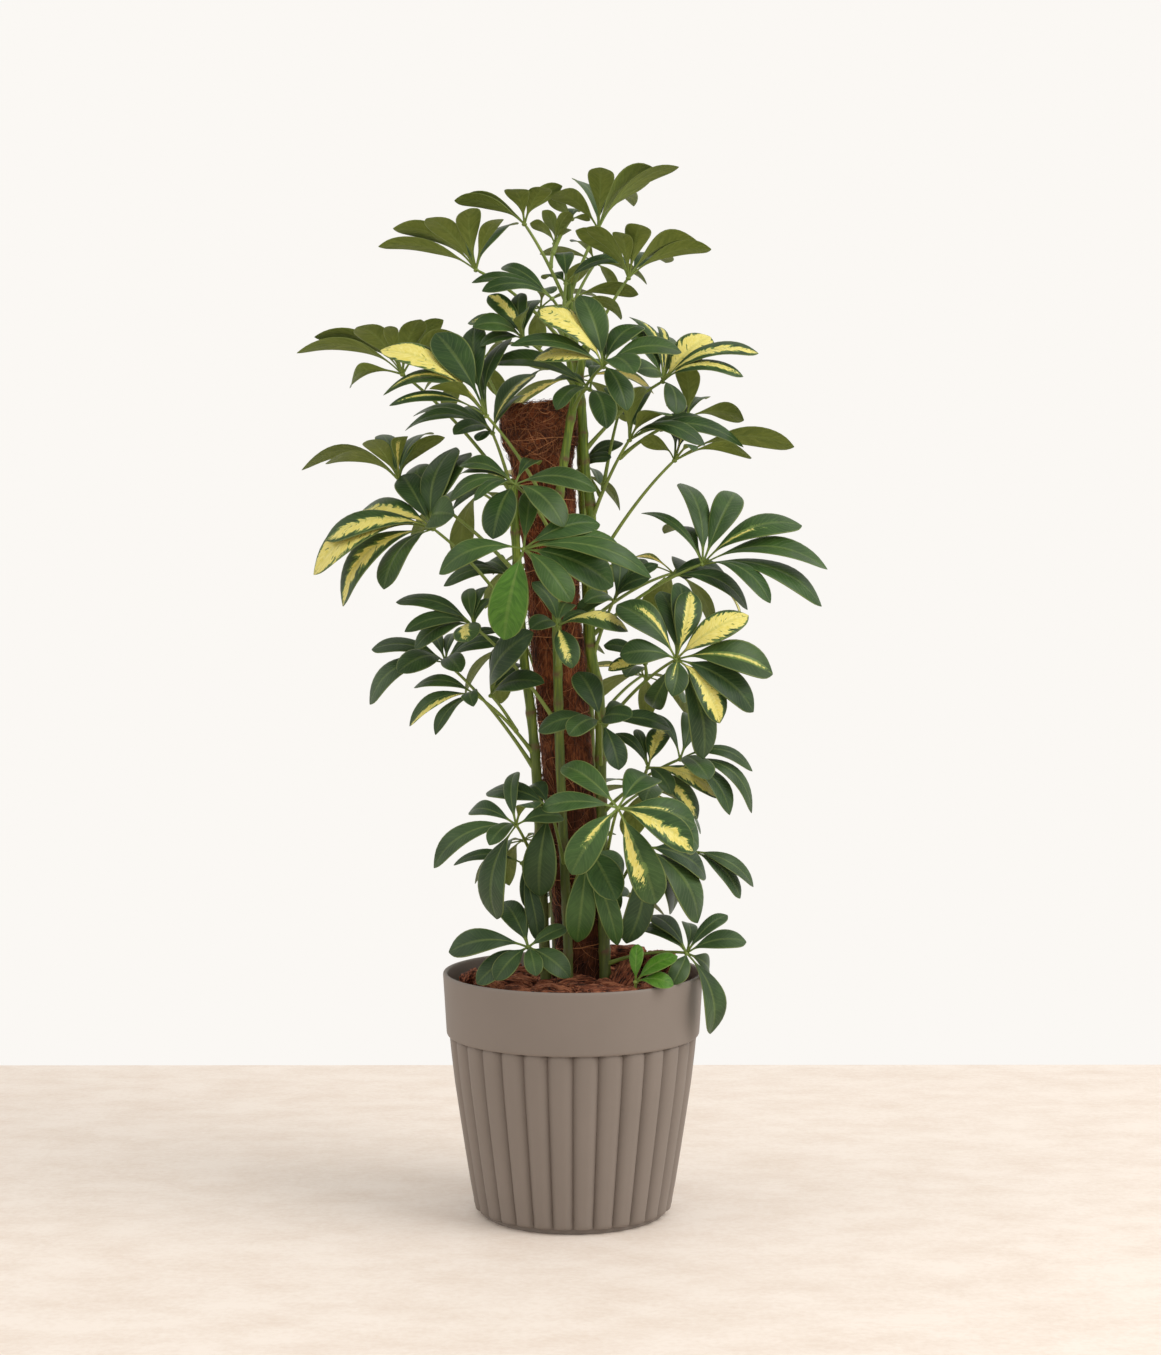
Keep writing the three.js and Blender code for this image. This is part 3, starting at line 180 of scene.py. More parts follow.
LEAVES = [
    # the large leaves in front
    Leaf("leaf_aa", (45, 407, -135), FRONT, ("stem_right", 335), 104, [
        (-12, 450, 0.5, 22), (-32, 407, 0.1, 19), (-2, 340, -0.3, 31), (84, 310, -0.2, 34),
        (121, 365, -0.3, 26), (123, 391, 0.2, 28), (79, 438, 0.7, 28), (127, 368, 0.5)]),
    Leaf("leaf_m", (-49, 666, -140), FRONT, ("stem_front", 606), 94, [
        (-69, 575, -0.5, 38), (-1, 613, -0.5, 26), (41, 630, -0.2), (48, 668, -0.1, 22, 0.16),
        (79, 641, 0.3, 18, 0.22), (27, 692, 0.4, 22, 0.2), (-42, 723, 0.6, 20),
        (-134, 642, 0, 22, 0.25)]),
    Leaf("leaf_v", (103, 556, -85), FRONT_RIGHT, ("stem_right", 484), 100, [
        (117, 624, 0.3, 28), (175, 601, 0.2, 27, 0.21), (200, 542, 0), (182, 505, -0.1, 26),
        (147, 492, -0.3, 25), (131, 456, 0.2, 28), (78, 507, 0.6, 22), (99, 519, -0.4, 24),
        (47, 561, -0.2, 22), (44, 611, 0.2, 30), (87, 624, 0.6, 24), (107, 634, 0.7, 24)]),
    Leaf("leaf_w", (72, 552, -40), TOP_LEFT, ("leaf_v", 0.62), 46, [
        (31, 571, 0.2), (35, 545, -0.3)]),
    Leaf("leaf_l", (-58, 730, -115), TOP, ("stem_front", 672), 82, [
        (-80, 676, -0.6, 33), (-9, 688, -0.5, 24), (24, 724, -0.1, 18), (-34, 752, 0.8, 13),
        (-123, 715, -0.2, 14, 0.25), (-98, 716, -0.6, 9, 0.2), (-113, 750, 0.3, 13),
        (-113, 742, 0.2, 10), (-122, 704, 0.6, 12)]),
    Leaf("leaf_k", (-139, 686, -60), TOP_LEFT, ("stem_left", 588), 116, [
        (-170, 741, 0.5, 28), (-154, 750, 0.7, 30), (-118, 768, 0.5, 31), (-103, 763, 0.2, 28),
        (-212, 704, 0.3, 24, 0.2), (-247, 676, 0, 22, 0.19), (-259, 641, -0.1, 26, 0.24),
        (-232, 611, -0.3, 24, 0.22), (-189, 626, -0.5, 24), (-118, 700, -0.6, 24)]),
    Leaf("leaf_u", (129, 651, -20), TOP_RIGHT, ("stem_right", 578), 122, [
        (70, 705, 0.2, 9), (91, 682, 0.6, 14, 0.25), (109, 733, 0.6, 26), (163, 724, 0.7, 30),
        (228, 690, 0.3, 22, 0.22), (254, 646, 0, 22, 0.19), (250, 613, -0.1, 20, 0.19),
        (197, 612, -0.4, 16, 0.22)]),
    Leaf("leaf_uu", (92, 636, -10), TOP_RIGHT, ("leaf_u", 0.6), 92, [
        (175, 607, 0, 16, 0.26), (153, 640, 0.3, 15, 0.22)]),
    Leaf("leaf_i", (-86, 798, -95), TOP_LEFT, ("stem_front", 690), 104, [
        (-191, 863, 0.2, 25), (-136, 880, 0.4, 34), (-98, 887, 0.6, 26), (-188, 822, -0.2, 14, 0.3),
        (-182, 810, -0.5, 11), (-138, 829, -0.6, 18), (-84, 856, 0.7, 22),
        (-62, 876, 0.5, 16)], stalk=0.3),
    Leaf("leaf_hh", (30, 847, -105), TOP, ("stem_front", 800), 86, [
        (-32, 904, 0.3, 26), (-39, 854, -0.1, 20), (7, 917, 0.5, 28), (67, 888, 0.4, 24),
        (108, 861, 0.1, 20), (61, 842, -0.7, 24), (54, 804, -0.6, 24), (33, 868, 0.95, 16),
        (-62, 868, -0.5, 14)]),
    Leaf("leaf_ii", (17, 824, -75), UP, ("leaf_hh", 0.35), 84, [
        (-81, 851, 0, 20), (-17, 804, -0.4, 14, 0.22), (34, 786, -0.7, 24), (-18, 835, 0.6, 12, 0.2),
        (30, 846, 0.7, 14)]),
    Leaf("leaf_x", (28, 493, -75), TOP, ("stem_right", 448), 68, [
        (5, 544, 0.6, 28), (-35, 484, -0.2, 18), (-4, 480, -0.7, 25), (58, 499, -0.7, 20),
        (52, 510, 0.5, 20), (98, 486, -0.1, 15, 0.16), (46, 445, -0.5, 23)]),
    Leaf("leaf_s", (-16, 589, -70), TOP, ("stem_front", 548), 70, [
        (-41, 633, 0.4, 20), (-42, 587, -0.6, 18), (-2, 612, 0.7, 18), (15, 603, 0.5, 18),
        (55, 586, 0, 18, 0.2), (-1, 547, -0.5, 25)]),
    Leaf("leaf_bb", (-57, 390, -85), TOP_LEFT, ("stem_left", 330), 96, [
        (-141, 349, -0.1, 17, 0.22), (-104, 404, 0.4, 14, 0.2), (-57, 445, 0.6, 16),
        (-38, 409, -0.6, 14), (-9, 397, 0.3, 20), (-79, 295, -0.3, 27), (-84, 370, -0.5, 12)]),
    Leaf("leaf_bd", (-51, 352, -45), TOP, ("leaf_bb", 0.4), 70, [
        (-120, 352, 0.1, 9), (-44, 305, -0.2, 15), (-25, 321, 0.5, 20), (-34, 272, 0.5, 18)]),
    Leaf("leaf_bc", (-23, 407, -62), TOP, ("stem_front", 350), 92, [
        (-87, 423, 0.2, 19), (-34, 318, -0.3, 34), (-46, 429, 0.6, 18)]),
    Leaf("leaf_cc", (15, 366, -80), FRONT, ("stem_front", 305), 98, [
        (4, 271, -0.1, 29), (43, 315, -0.6, 32), (32, 383, 0.8, 22), (50, 338, 0.3, 22),
        (44, 298, 0.5, 20), (46, 268, 0.4, 22)]),
    Leaf("leaf_z", (107, 456, -45), TOP_RIGHT, ("stem_right", 402), 92, [
        (72, 503, 0.4, 9, 0.2), (114, 504, 0.7, 18), (180, 445, 0, 11, 0.3), (181, 404, -0.1, 13, 0.3),
        (158, 401, -0.4, 16, 0.2), (136, 437, -0.6, 20)]),
    Leaf("leaf_y", (75, 448, -50), TOP, ("leaf_z", 0.55), 80, [
        (43, 483, 0.2, 10), (63, 487, 0.6, 11), (90, 487, 0.3, 22), (99, 422, -0.4, 16),
        (148, 418, -0.3, 17), (126, 397, -0.3, 18)]),
    # the left side
    Leaf("leaf_o", (-99, 589, -60), TOP_LEFT, ("stem_front", 490), 80, [
        (-176, 615, 0.1, 14, 0.2), (-147, 596, 0.7, 12, 0.2), (-158, 567, -0.4, 16, 0.24),
        (-168, 584, -0.2, 13, 0.2), (-104, 627, 0.5, 15), (-87, 630, 0.7, 13), (-79, 617, 0.3, 10),
        (-105, 574, -0.7, 24)]),
    Leaf("leaf_p", (-127, 553, -15), TOP_LEFT, ("stem_left", 444), 84, [
        (-201, 566, 0.2, 15, 0.2), (-204, 512, -0.2, 20, 0.28), (-175, 543, -0.6, 19, 0.22),
        (-138, 581, 0.6, 13), (-113, 583, 0.7, 13), (-74, 586, 0.3, 10), (-69, 574, -0.3, 12),
        (-112, 544, -0.7, 17)]),
    Leaf("leaf_q", (-98, 521, -50), TOP_LEFT, ("stem_left", 460), 78, [
        (-159, 529, 0.2, 12, 0.22), (-164, 490, -0.2, 13, 0.2), (-138, 481, -0.5, 11),
        (-100, 510, -0.6, 16)]),
    Leaf("leaf_r", (-82, 520, -32), TOP, ("leaf_q", 0.3), 76, [
        (-72, 572, 0.6, 16), (-41, 583, 0.2, 24), (-52, 552, 0.7, 12), (-29, 533, -0.2, 17)]),
    Leaf("leaf_n", (-58, 635, 25), TOP_LEFT, ("stem_rear_left", 575), 74, [
        (-126, 647, 0.2, 11, 0.15), (-129, 630, -0.2, 12, 0.25), (-85, 653, 0.7, 20)]),
    Leaf("leaf_j", (-173, 734, -20), UNDER_LEFT, ("stem_left", 640), 98, [
        (-269, 748, -0.1, 13, 0.3), (-246, 753, -0.4, 13, 0.22), (-204, 774, -0.6, 22),
        (-190, 780, 0.6, 22), (-170, 779, -0.7, 16), (-128, 777, 0.3, 12, 0.2), (-140, 782, 0.5, 14)]),
    Leaf("leaf_mm", (-80, 781, -40), TOP_LEFT, ("stem_left", 716), 86, [
        (-38, 840, 0.3, 18), (-48, 818, 0.5, 13), (-167, 785, 0, 12, 0.24), (-159, 800, 0.4, 12, 0.2),
        (-118, 780, -0.6, 13), (-112, 806, 0.7, 11), (-95, 774, -0.3, 9)]),
    Leaf("leaf_h", (-169, 839, -25), UNDER_LEFT, ("stem_left", 726), 102, [
        (-273, 863, -0.1, 13, 0.2), (-255, 878, 0.2, 14, 0.2), (-214, 887, -0.5, 24),
        (-182, 888, -0.6, 15), (-152, 894, -0.2, 22), (-130, 893, 0.4, 13), (-118, 881, -0.1, 14),
        (-221, 827, -0.5, 13, 0.26), (-200, 862, 0.8, 20)]),
    # the right side
    Leaf("leaf_t", (41, 615, -25), TOP_RIGHT, ("stem_right", 556), 62, [
        (45, 663, 0.4, 18), (77, 638, -0.4, 16), (84, 652, 0.2, 14), (73, 656, 0.6, 18),
        (12, 613, -0.6, 16), (4, 602, -0.2, 16)]),
    Leaf("leaf_ll", (101, 754, -50), UNDER_RIGHT, ("stem_right", 640), 119, [
        (220, 768, 0, 20, 0.17), (178, 758, -0.4, 14, 0.17), (120, 765, -0.5, 9), (88, 786, 0.5, 11),
        (67, 773, 0.2, 11, 0.2), (114, 780, 0.6, 12)], stalk=0.26),
    Leaf("leaf_kk", (56, 774, -40), UP, ("stem_right", 694), 114, [
        (170, 769, 0, 15, 0.22), (131, 770, -0.5, 13, 0.26), (75, 828, 0.6, 20), (92, 800, -0.6, 18),
        (68, 827, -0.3, 20), (145, 787, 0.2, 14, 0.2)]),
    Leaf("leaf_kl", (113, 796, -5), UNDER_RIGHT, ("leaf_kk", 0.7), 58, [
        (111, 848, -0.4, 29), (170, 795, -0.1, 20), (132, 816, 0.7, 14), (98, 806, 0.7, 16)]),
    Leaf("leaf_jj", (46, 802, 25), TOP, ("leaf_kk", 0.3), 50, [
        (35, 828, 0.5, 18), (67, 825, 0.5, 18), (67, 788, -0.4, 18)]),
    Leaf("leaf_km", (8, 747, 14), TOP_RIGHT, ("leaf_kk", 0.25), 44, [
        (50, 771, 0.3, 13), (38, 757, -0.3, 11)]),
    Leaf("leaf_gg", (89, 832, -30), TOP_RIGHT, ("stem_right", 762), 98, [
        (57, 897, 0.4, 12, 0.2), (85, 888, 0.6, 10), (44, 886, 0.1, 20), (101, 871, 0.8, 14),
        (86, 881, 0.9, 24), (136, 877, 0.3, 30), (184, 861, 0, 17, 0.2), (169, 838, -0.3, 13, 0.22),
        (62, 843, -0.5, 18), (103, 801, -0.4, 23)]),
    # the crown
    Leaf("leaf_e", (55, 934, -45), UNDER_RIGHT, ("stem_front", 846), 92, [
        (3, 981, 0.3, 14), (14, 984, -0.1, 14), (45, 980, -0.6, 18), (66, 987, -0.7, 26),
        (122, 972, -0.4, 18, 0.2), (137, 963, 0, 13, 0.18), (92, 950, 0.8, 20)]),
    Leaf("leaf_f", (-21, 914, -65), TOP_LEFT, ("stem_right", 868), 85, [
        (-100, 932, 0.1, 13, 0.15), (-90, 922, -0.5, 16), (-71, 946, 0.6, 14)]),
    Leaf("leaf_f2", (-7, 929, -15), TOP, ("leaf_f", 0.5), 66, [
        (-10, 960, 0.7, 20), (56, 950, 0.2, 14, 0.2), (-28, 934, 0.5, 14)]),
    Leaf("leaf_f3", (0, 913, -40), UNDER_RIGHT, ("leaf_f", 0.6), 70, [
        (65, 918, -0.1, 14, 0.2), (50, 897, -0.6, 14)]),
    Leaf("leaf_g", (-49, 874, -75), TOP_LEFT, ("stem_front", 822), 68, [
        (-84, 917, 0.5, 19), (-104, 891, 0.1, 18), (-99, 887, -0.5, 16), (-53, 920, 0.4, 19),
        (-46, 903, -0.5, 18), (-36, 913, 0.7, 18), (-92, 868, -0.3, 15)]),
    Leaf("leaf_a", (-96, 942, -40), UNDER_LEFT, ("stem_back", 868), 98, [
        (-192, 967, -0.1, 13, 0.15), (-177, 985, -0.3, 16), (-145, 993, -0.6, 21),
        (-102, 1003, -0.7, 25), (-72, 993, -0.6, 15), (-55, 988, 0.6, 16), (-126, 978, 0.8, 20)]),
    Leaf("leaf_b", (-48, 987, -25), UNDER, ("stem_right", 896), 76, [
        (-117, 1011, -0.1, 12, 0.18), (-107, 1014, 0.4, 13), (-60, 1022, -0.7, 22),
        (-26, 1024, -0.5, 18), (-12, 1025, 0.3, 12)]),
    Leaf("leaf_b2", (-18, 968, 25), UNDER, ("leaf_b", 0.45), 50, [
        (-42, 988, 0.2, 16), (-30, 1000, 0.3, 16), (-3, 999, 0.6, 15), (-3, 982, -0.3, 14)]),
    Leaf("leaf_b3", (-1, 992, 45), UNDER, ("leaf_b2", 0.4), 40, [
        (-24, 1010, 0.4, 14), (6, 1000, 0.8, 14), (17, 991, 0.2, 14)]),
    Leaf("leaf_d", (25, 982, 0), UNDER_RIGHT, ("stem_right", 914), 100, [
        (0, 1031, 0.5, 17), (-18, 1018, -0.3, 20), (28, 1044, -0.6, 26), (80, 1042, 0.3, 22),
        (102, 1046, -0.1, 13), (60, 1010, 0.8, 20)]),
    # low on the right and near the rim
    Leaf("leaf_cd", (70, 368, -60), TOP_RIGHT, ("stem_right", 296), 100, [
        (134, 337, 0.3, 22), (127, 292, -0.1, 27), (100, 302, 0.4, 26), (54, 270, -0.3, 29)]),
    Leaf("leaf_ce", (119, 364, -20), TOP_RIGHT, ("leaf_cd", 0.6), 75, [
        (182, 329, 0, 14), (168, 316, -0.2, 14)]),
    Leaf("leaf_dd", (-45, 267, -82), FRONT, ("stem_left", 246), 78, [
        (-125, 262, 0.1, 22, 0.3), (-97, 230, -0.2, 21), (-78, 234, -0.4, 21), (-37, 238, -0.5, 18),
        (-3, 237, -0.2, 22), (-6, 287, 0.2, 14), (-53, 309, 0.6, 12), (-70, 313, 0.6, 24)]),
    Leaf("leaf_ee", (114, 261, -52), TOP_RIGHT, ("stem_right", 252), 86, [
        (155, 300, 0.3, 14), (174, 273, 0, 17), (113, 293, 0.6, 15), (78, 300, 0.4, 22),
        (70, 288, 0.2, 14), (100, 229, -0.4, 20), (140, 179, 0, 21), (136, 239, 0.5, 16)]),
    Leaf("leaf_ff", (63, 232, -92), TOP, ("soil", 58, -84), 46, [
        (65, 270, 0.3, 14), (105, 258, -0.1, 20), (101, 229, -0.4, 16)]),
]

# Behind the pole: hub, face, host, reach, and a ring of leaflets (count, turn, droop).
BACK_LEAVES = [
    ((-32, 905, 92), BACK_LEFT, ("stem_back", 870), 62, (6, 0.1, 0.25)),
    ((22, 948, 84), BACK_RIGHT, ("stem_back", 892), 58, (6, 0.5, 0.1)),
    ((-92, 850, 92), BACK_LEFT, ("stem_rear_left", 738), 72, (6, 0.7, 0.3)),
    ((5, 835, 130), BACK, ("stem_back", 792), 88, (6, 0.2, 0.35)),
    ((-92, 722, 105), BACK_LEFT, ("stem_rear_left", 672), 92, (6, 0.4, 0.35)),
    ((0, 742, 122), BACK_RIGHT, ("stem_back", 704), 64, (6, 0.6, 0.35)),
    ((-22, 655, 140), BACK, ("stem_rear_left", 606), 90, (6, 0, 0.4)),
    ((100, 642, 85), BACK_RIGHT, ("stem_back", 590), 90, (6, 0.2, 0.35)),
    ((-48, 572, 105), BACK_LEFT, ("stem_rear_left", 508), 84, (6, 0.5, 0.4)),
    ((70, 540, 105), BACK_RIGHT, ("stem_back", 482), 76, (6, 0.8, 0.4)),
    ((72, 425, 92), BACK_RIGHT, ("stem_back", 372), 84, (6, 0.1, 0.4)),
    ((-50, 375, 100), BACK_LEFT, ("stem_rear_left", 322), 68, (6, 0.4, 0.4)),
    ((22, 315, 102), BACK, ("stem_back", 276), 76, (5, 0.3, 0.2)),
]
for place, (*given, ring) in enumerate(BACK_LEAVES, 1):
    LEAVES.append(Leaf(f"leaf_back_{place}", *given, ring=ring))

# The bends, lengths and slides that the solids' leaflets and stalks may have.
BENDS = (0, -9, 9, -18, 18, -28, 28, -40, 40, -54, 54)
SHORTER = (1, 0.8)
STALK_SLIDES = (0, 7, -7, 14, -14)
STALK_BENDS = (0, -10, 10, -22, 22, -36, 36)
STALK_RADIUS = (2.4, 1.5)  # of a solid's stalk, at its foot and at its hub
STALK_ROOT = 22  # how deep in the soil a stalk starts
WIDTH_SHARE = 0.33  # a leaflet's usual width over its leaf's reach
SHORT_IN_RING = 0.84  # each third leaflet of a ring is shorter
ARCH = 0.17  # a leaflet's rise in the middle over its length
WIDEST = 0.5  # the most that a leaflet's width is of its length
LEAST_SHOWN = 0.6  # the least share of its width that a leaflet shows from the front

# Where leaflets are splashed with yellow: by leaf and tip, the middle of the splash across the
# leaflet (-1 to 1), its half width, and how far it runs from the base (1 is the tip).
SPLASHES = {
    "leaf_aa": {(84, 310): (0.42, 0.3, 0.66), (121, 365): (0.2, 0.34, 0.97),
                (123, 391): (-0.1, 0.07, 0.5), (-2, 340): (0.1, 0.1, 0.5)},
    "leaf_v": {(117, 624): (0.1, 0.3, 0.97), (175, 601): (0, 0.75, 1.05), (200, 542): (0, 0.035, 0.9),
               (147, 492): (0, 0.5, 1), (44, 611): (0.35, 0.12, 0.7), (99, 519): (0.3, 0.06, 0.6)},
    "leaf_w": {(35, 545): (0, 0.6, 0.95)},
    "leaf_k": {(-212, 704): (-0.5, 0.5, 1.0), (-247, 676): (-0.3, 0.4, 0.92),
               (-259, 641): (-0.05, 0.78, 1.05), (-232, 611): (-0.1, 0.36, 1)},
    "leaf_u": {(228, 690): (0.15, 0.12, 0.42)},
    "leaf_i": {(-191, 863): (0, 0.85, 1.1), (-188, 822): (0.2, 0.14, 0.85),
               (-182, 810): (0.1, 0.1, 0.8)},
    "leaf_hh": {(-32, 904): (0, 0.8, 1.05), (-39, 854): (-0.2, 0.6, 1)},
    "leaf_gg": {(57, 897): (0.3, 0.2, 0.8), (85, 888): (0.2, 0.3, 0.9), (136, 877): (0, 0.75, 1.05),
                (184, 861): (0.2, 0.34, 1), (169, 838): (0, 0.3, 0.9)},
    "leaf_g": {(-84, 917): (0.2, 0.3, 1), (-104, 891): (0, 0.3, 0.85)},
    "leaf_j": {(-170, 779): (0.1, 0.2, 0.6)},
    "leaf_mm": {(-38, 840): (0.4, 0.2, 0.9)},
    "leaf_q": {(-164, 490): (-0.7, 0.3, 0.95)},
    "leaf_s": {(55, 586): (-0.4, 0.45, 1), (-1, 547): (0.2, 0.25, 0.8)},
    "leaf_y": {(90, 487): (0, 0.35, 0.9), (148, 418): (0.1, 0.6, 1), (126, 397): (0.3, 0.3, 0.9)},
    "leaf_ll": {(114, 780): (0, 0.2, 0.8)},
    "leaf_o": {(-105, 574): (0.2, 0.3, 0.9)},
    "leaf_back_4": {1: (0.1, 0.5, 1), 4: (0.3, 0.3, 0.8)},
    "leaf_back_5": {0: (-0.2, 0.4, 0.9)},
    "leaf_back_7": {2: (0.3, 0.35, 0.9)},
    "leaf_back_8": {1: (0, 0.7, 1), 5: (-0.3, 0.3, 0.9)},
    "leaf_back_10": {4: (0.2, 0.4, 0.9)},
    "leaf_back_11": {2: (0, 0.5, 1)},
}
# How young and bright a leaf, or one of its leaflets, is: 0 is usual.
YOUTH = {"leaf_ff": 1, "leaf_m": 0.15, "leaf_cc": 0.2, "leaf_aa": 0.15, "leaf_u": 0.1,
         ("leaf_m", (-69, 575)): 0.8}

# ---- finishes ----


class Signal:
    """What a node gives out. Signals are added, subtracted and multiplied by Math nodes."""

    def __init__(self, tree, socket):
        self.tree = tree
        self.socket = socket

    def __add__(self, other):
        return calc("ADD", self, other)

    def __sub__(self, other):
        return calc("SUBTRACT", self, other)

    def __mul__(self, other):
        return calc("MULTIPLY", self, other)


def feed(tree, socket, value):
    """Links a socket to a signal, or sets it to a value."""
    if isinstance(value, Signal):
        tree.links.new(value.socket, socket)
    else:
        socket.default_value = value


def put(tree, kind, inputs, **settings):
    """A node with its settings, whose inputs are fed with signals or values."""
    node = tree.nodes.new(kind)
    for key, value in settings.items():
        setattr(node, key, value)
    for key, value in inputs.items():
        feed(tree, node.inputs[key], value)
    return node


def signal(tree, kind, inputs, output=0, **settings):
    """What a new node gives out."""
    return Signal(tree, put(tree, kind, inputs, **settings).outputs[output])


def calc(operation, first, second=0.0):
    """The result of a Math node."""
    return signal(first.tree, "ShaderNodeMath", {0: first, 1: second}, operation=operation)


def ease(value, low, high):
    """0 below low, 1 above high, and smooth between; low may be the larger."""
    flip = low > high
    inputs = {"Value": value, "From Min": min(low, high), "From Max": max(low, high),
              "To Min": float(flip), "To Max": float(not flip)}
    return signal(value.tree, "ShaderNodeMapRange", inputs, "Result", interpolation_type="SMOOTHSTEP")


def tint(red, green, blue):
    """A colour given by its screen values of 0 to 255."""
    def linear(value):
        share = value / 255
        return share / 12.92 if share < 0.04045 else ((share + 0.055) / 1.055) ** 2.4
    return (linear(red), linear(green), linear(blue), 1)


def mixed(share, first, second):
    """Two colours mixed, each a signal or the screen values of a colour."""
    first, second = (tint(*side) if isinstance(side, tuple) else side for side in (first, second))
    return signal(share.tree, "ShaderNodeMix", {0: share, 6: first, 7: second}, 2, data_type="RGBA")


def ramp(value, *stops):
    """A colour ramp through stops, each a place and the screen values of a colour."""
    node = put(value.tree, "ShaderNodeValToRGB", {0: value})
    marks = node.color_ramp.elements
    while len(marks) < len(stops):
        marks.new(0.5)
    for mark, (place, colour) in zip(marks, stops):
        mark.position = place
        mark.color = tint(*colour)
    return Signal(value.tree, node.outputs[0])


def shades(value, dark, light):
    """A ramp between two shades of a colour, over the middle of a noise."""
    return ramp(value, (0.3, dark), (0.7, light))


def speckle(place, scale, detail=2.0, roughness=0.5):
    """Noise from 0 to 1."""
    inputs = {"Vector": place, "Scale": scale, "Detail": detail, "Roughness": roughness}
    return signal(place.tree, "ShaderNodeTexNoise", inputs)


def stretched(place, x, y, z):
    """A place with each of its axes scaled."""
    inputs = {0: place, 1: (x, y, z)}
    return signal(place.tree, "ShaderNodeVectorMath", inputs, operation="MULTIPLY")


def parts(vector):
    """The three numbers of a place or an attribute."""
    split = put(vector.tree, "ShaderNodeSeparateXYZ", {0: vector})
    return [Signal(vector.tree, socket) for socket in split.outputs]


class Finish:
    """A material that is put together from signals."""

    def __init__(self, name):
        self.material = bpy.data.materials.new(name)
        self.material.use_nodes = True
        self.tree = self.material.node_tree

    def place(self):
        """The place on the piece, in metres."""
        return signal(self.tree, "ShaderNodeTexCoord", {}, "Object")

    def attribute(self, name):
        """A point attribute of three numbers."""
        return signal(self.tree, "ShaderNodeAttribute", {}, "Vector", attribute_name=name)

    def made(self, colour, roughness, specular=0.5, relief=None, strength=0.0, distance=0.0):
        """The material, with its colour, gloss and bumps."""
        looks = {"Base Color": colour, "Roughness": roughness, "Specular IOR Level": specular}
        if relief:
            bump = {"Height": relief, "Strength": strength, "Distance": distance}
            looks["Normal"] = signal(self.tree, "ShaderNodeBump", bump, "Normal")
        shader = self.tree.nodes["Principled BSDF"]
        for key, value in looks.items():
            feed(self.tree, shader.inputs[key], value)
        return self.material


def leaf_finish():
    """Leathery green with a thin midrib, faint side veins, a pale rim and yellow splashes."""
    leaf = Finish("leathery_leaf")
    along, across, upper = parts(leaf.attribute("blade"))
    seed, youth, shade = parts(leaf.attribute("traits"))
    centre, half, reach = parts(leaf.attribute("splash"))
    place = leaf.place()
    height = parts(place)[2]
    off = calc("ABSOLUTE", across)
    # how far along the side veins' sweep, one for each vein
    sweep = along * 18 - off * 3 + speckle(place, 70, 1.0) * 1.6
    vein = ease(calc("PINGPONG", sweep, 0.5), 0.41, 0.5)
    field = signal(leaf.tree, "ShaderNodeCombineXYZ", {0: sweep, 1: across * 1.5, 2: seed})
    between = speckle(field, 0.9, 3.0, 0.6)
    # the upper side: greyer low on the plant, which is a painted sheen, and greener when young
    top = shades(between, (34, 61, 26), (53, 80, 34))
    painted_sheen_grey = shades(between, (45, 65, 44), (63, 85, 58))
    top = mixed(ease(height, 0.78, 0.4) * 0.75, top, painted_sheen_grey)
    top = mixed(shade * 0.45, top, (76, 102, 46))
    top = mixed(ease(speckle(place, 34), 0.35, 0.65) * 0.5, top, (28, 48, 24))
    top = mixed(youth, top, shades(between, (58, 102, 24), (88, 134, 42)))
    green = mixed(upper, shades(between, (96, 111, 44), (120, 132, 60)), top)
    green = mixed(vein * 0.14, green, (132, 150, 88))
    # yellow splashes, ragged along the veins
    fine = speckle(field, 2.6, 2.0, 0.6)
    ragged = calc("MINIMUM", half * 3.2, 1.3)
    inside = (between - 0.5) * ragged + half - calc("ABSOLUTE", across - centre)
    ahead = (fine - 0.5) * 1.4 + (reach - along) * 2.4
    depth = calc("MINIMUM", inside, ahead)
    given = calc("GREATER_THAN", half, 0.01)
    pale = ease(depth, -0.14, -0.1) * given
    spots = ease(speckle(field, 1.7, 1.0), 0.71, 0.67)
    yellow = ease(depth, -0.01, 0.03) * given * spots
    green = mixed(pale * 0.6, green, (112, 138, 70))
    colour = mixed(yellow, green, shades(fine, (214, 200, 92), (230, 220, 136)))
    # midrib, rim and stalk
    rib = ease(off, 0.065, 0.015)
    colour = mixed(rib * (along * -0.3 + 0.4), colour, (136, 154, 84))
    colour = mixed(ease(off, 0.94, 1.0) * 0.35, colour, (144, 156, 88))
    colour = mixed(ease(along, 0.19, 0.12) * 0.85, colour, (116, 134, 62))
    gloss = speckle(place, 60, 3.0) * 0.18 + upper * -0.16 + 0.46
    relief = speckle(place, 900) * 0.1 + between * 0.35 - rib * 0.7 - vein * 0.3
    return leaf.made(colour, gloss, 0.24, relief, strength=0.45, distance=0.0008)


def stalk_finish():
    """The smooth green of leaf stalks and hubs."""
    stalk = Finish("leaf_stalk_green")
    place = stalk.place()
    patch = speckle(place, 60)
    colour = mixed(patch, (88, 110, 38), (140, 156, 70))
    relief = speckle(stretched(place, 1, 1, 0.2), 1400)
    return stalk.made(colour, patch * 0.2 + 0.38, relief=relief, strength=0.2, distance=0.0004)


def stem_finish():
    """Olive green bark, striped lengthwise, with brown scars where leaves have fallen."""
    stem = Finish("olive_green_bark")
    place = stem.place()
    scar, age, _ = parts(stem.attribute("bark"))
    streak = speckle(stretched(place, 1, 1, 0.06), 420, 3.0, 0.6)
    green = ramp(streak, (0.25, (58, 82, 16)), (0.5, (98, 122, 30)), (0.75, (148, 164, 56)))
    green = mixed(age * speckle(place, 26), green, (112, 106, 56))
    # darker green lower down on the stem: painted shade
    green = mixed(ease(parts(place)[2], 0.6, 0.34) * 0.5, green, (44, 60, 20))
    colour = mixed(scar * ease(speckle(place, 160), 0.3, 0.55), green, (104, 76, 48))
    return stem.made(colour, streak * 0.25 + 0.4, relief=streak + scar, strength=0.35, distance=0.0007)


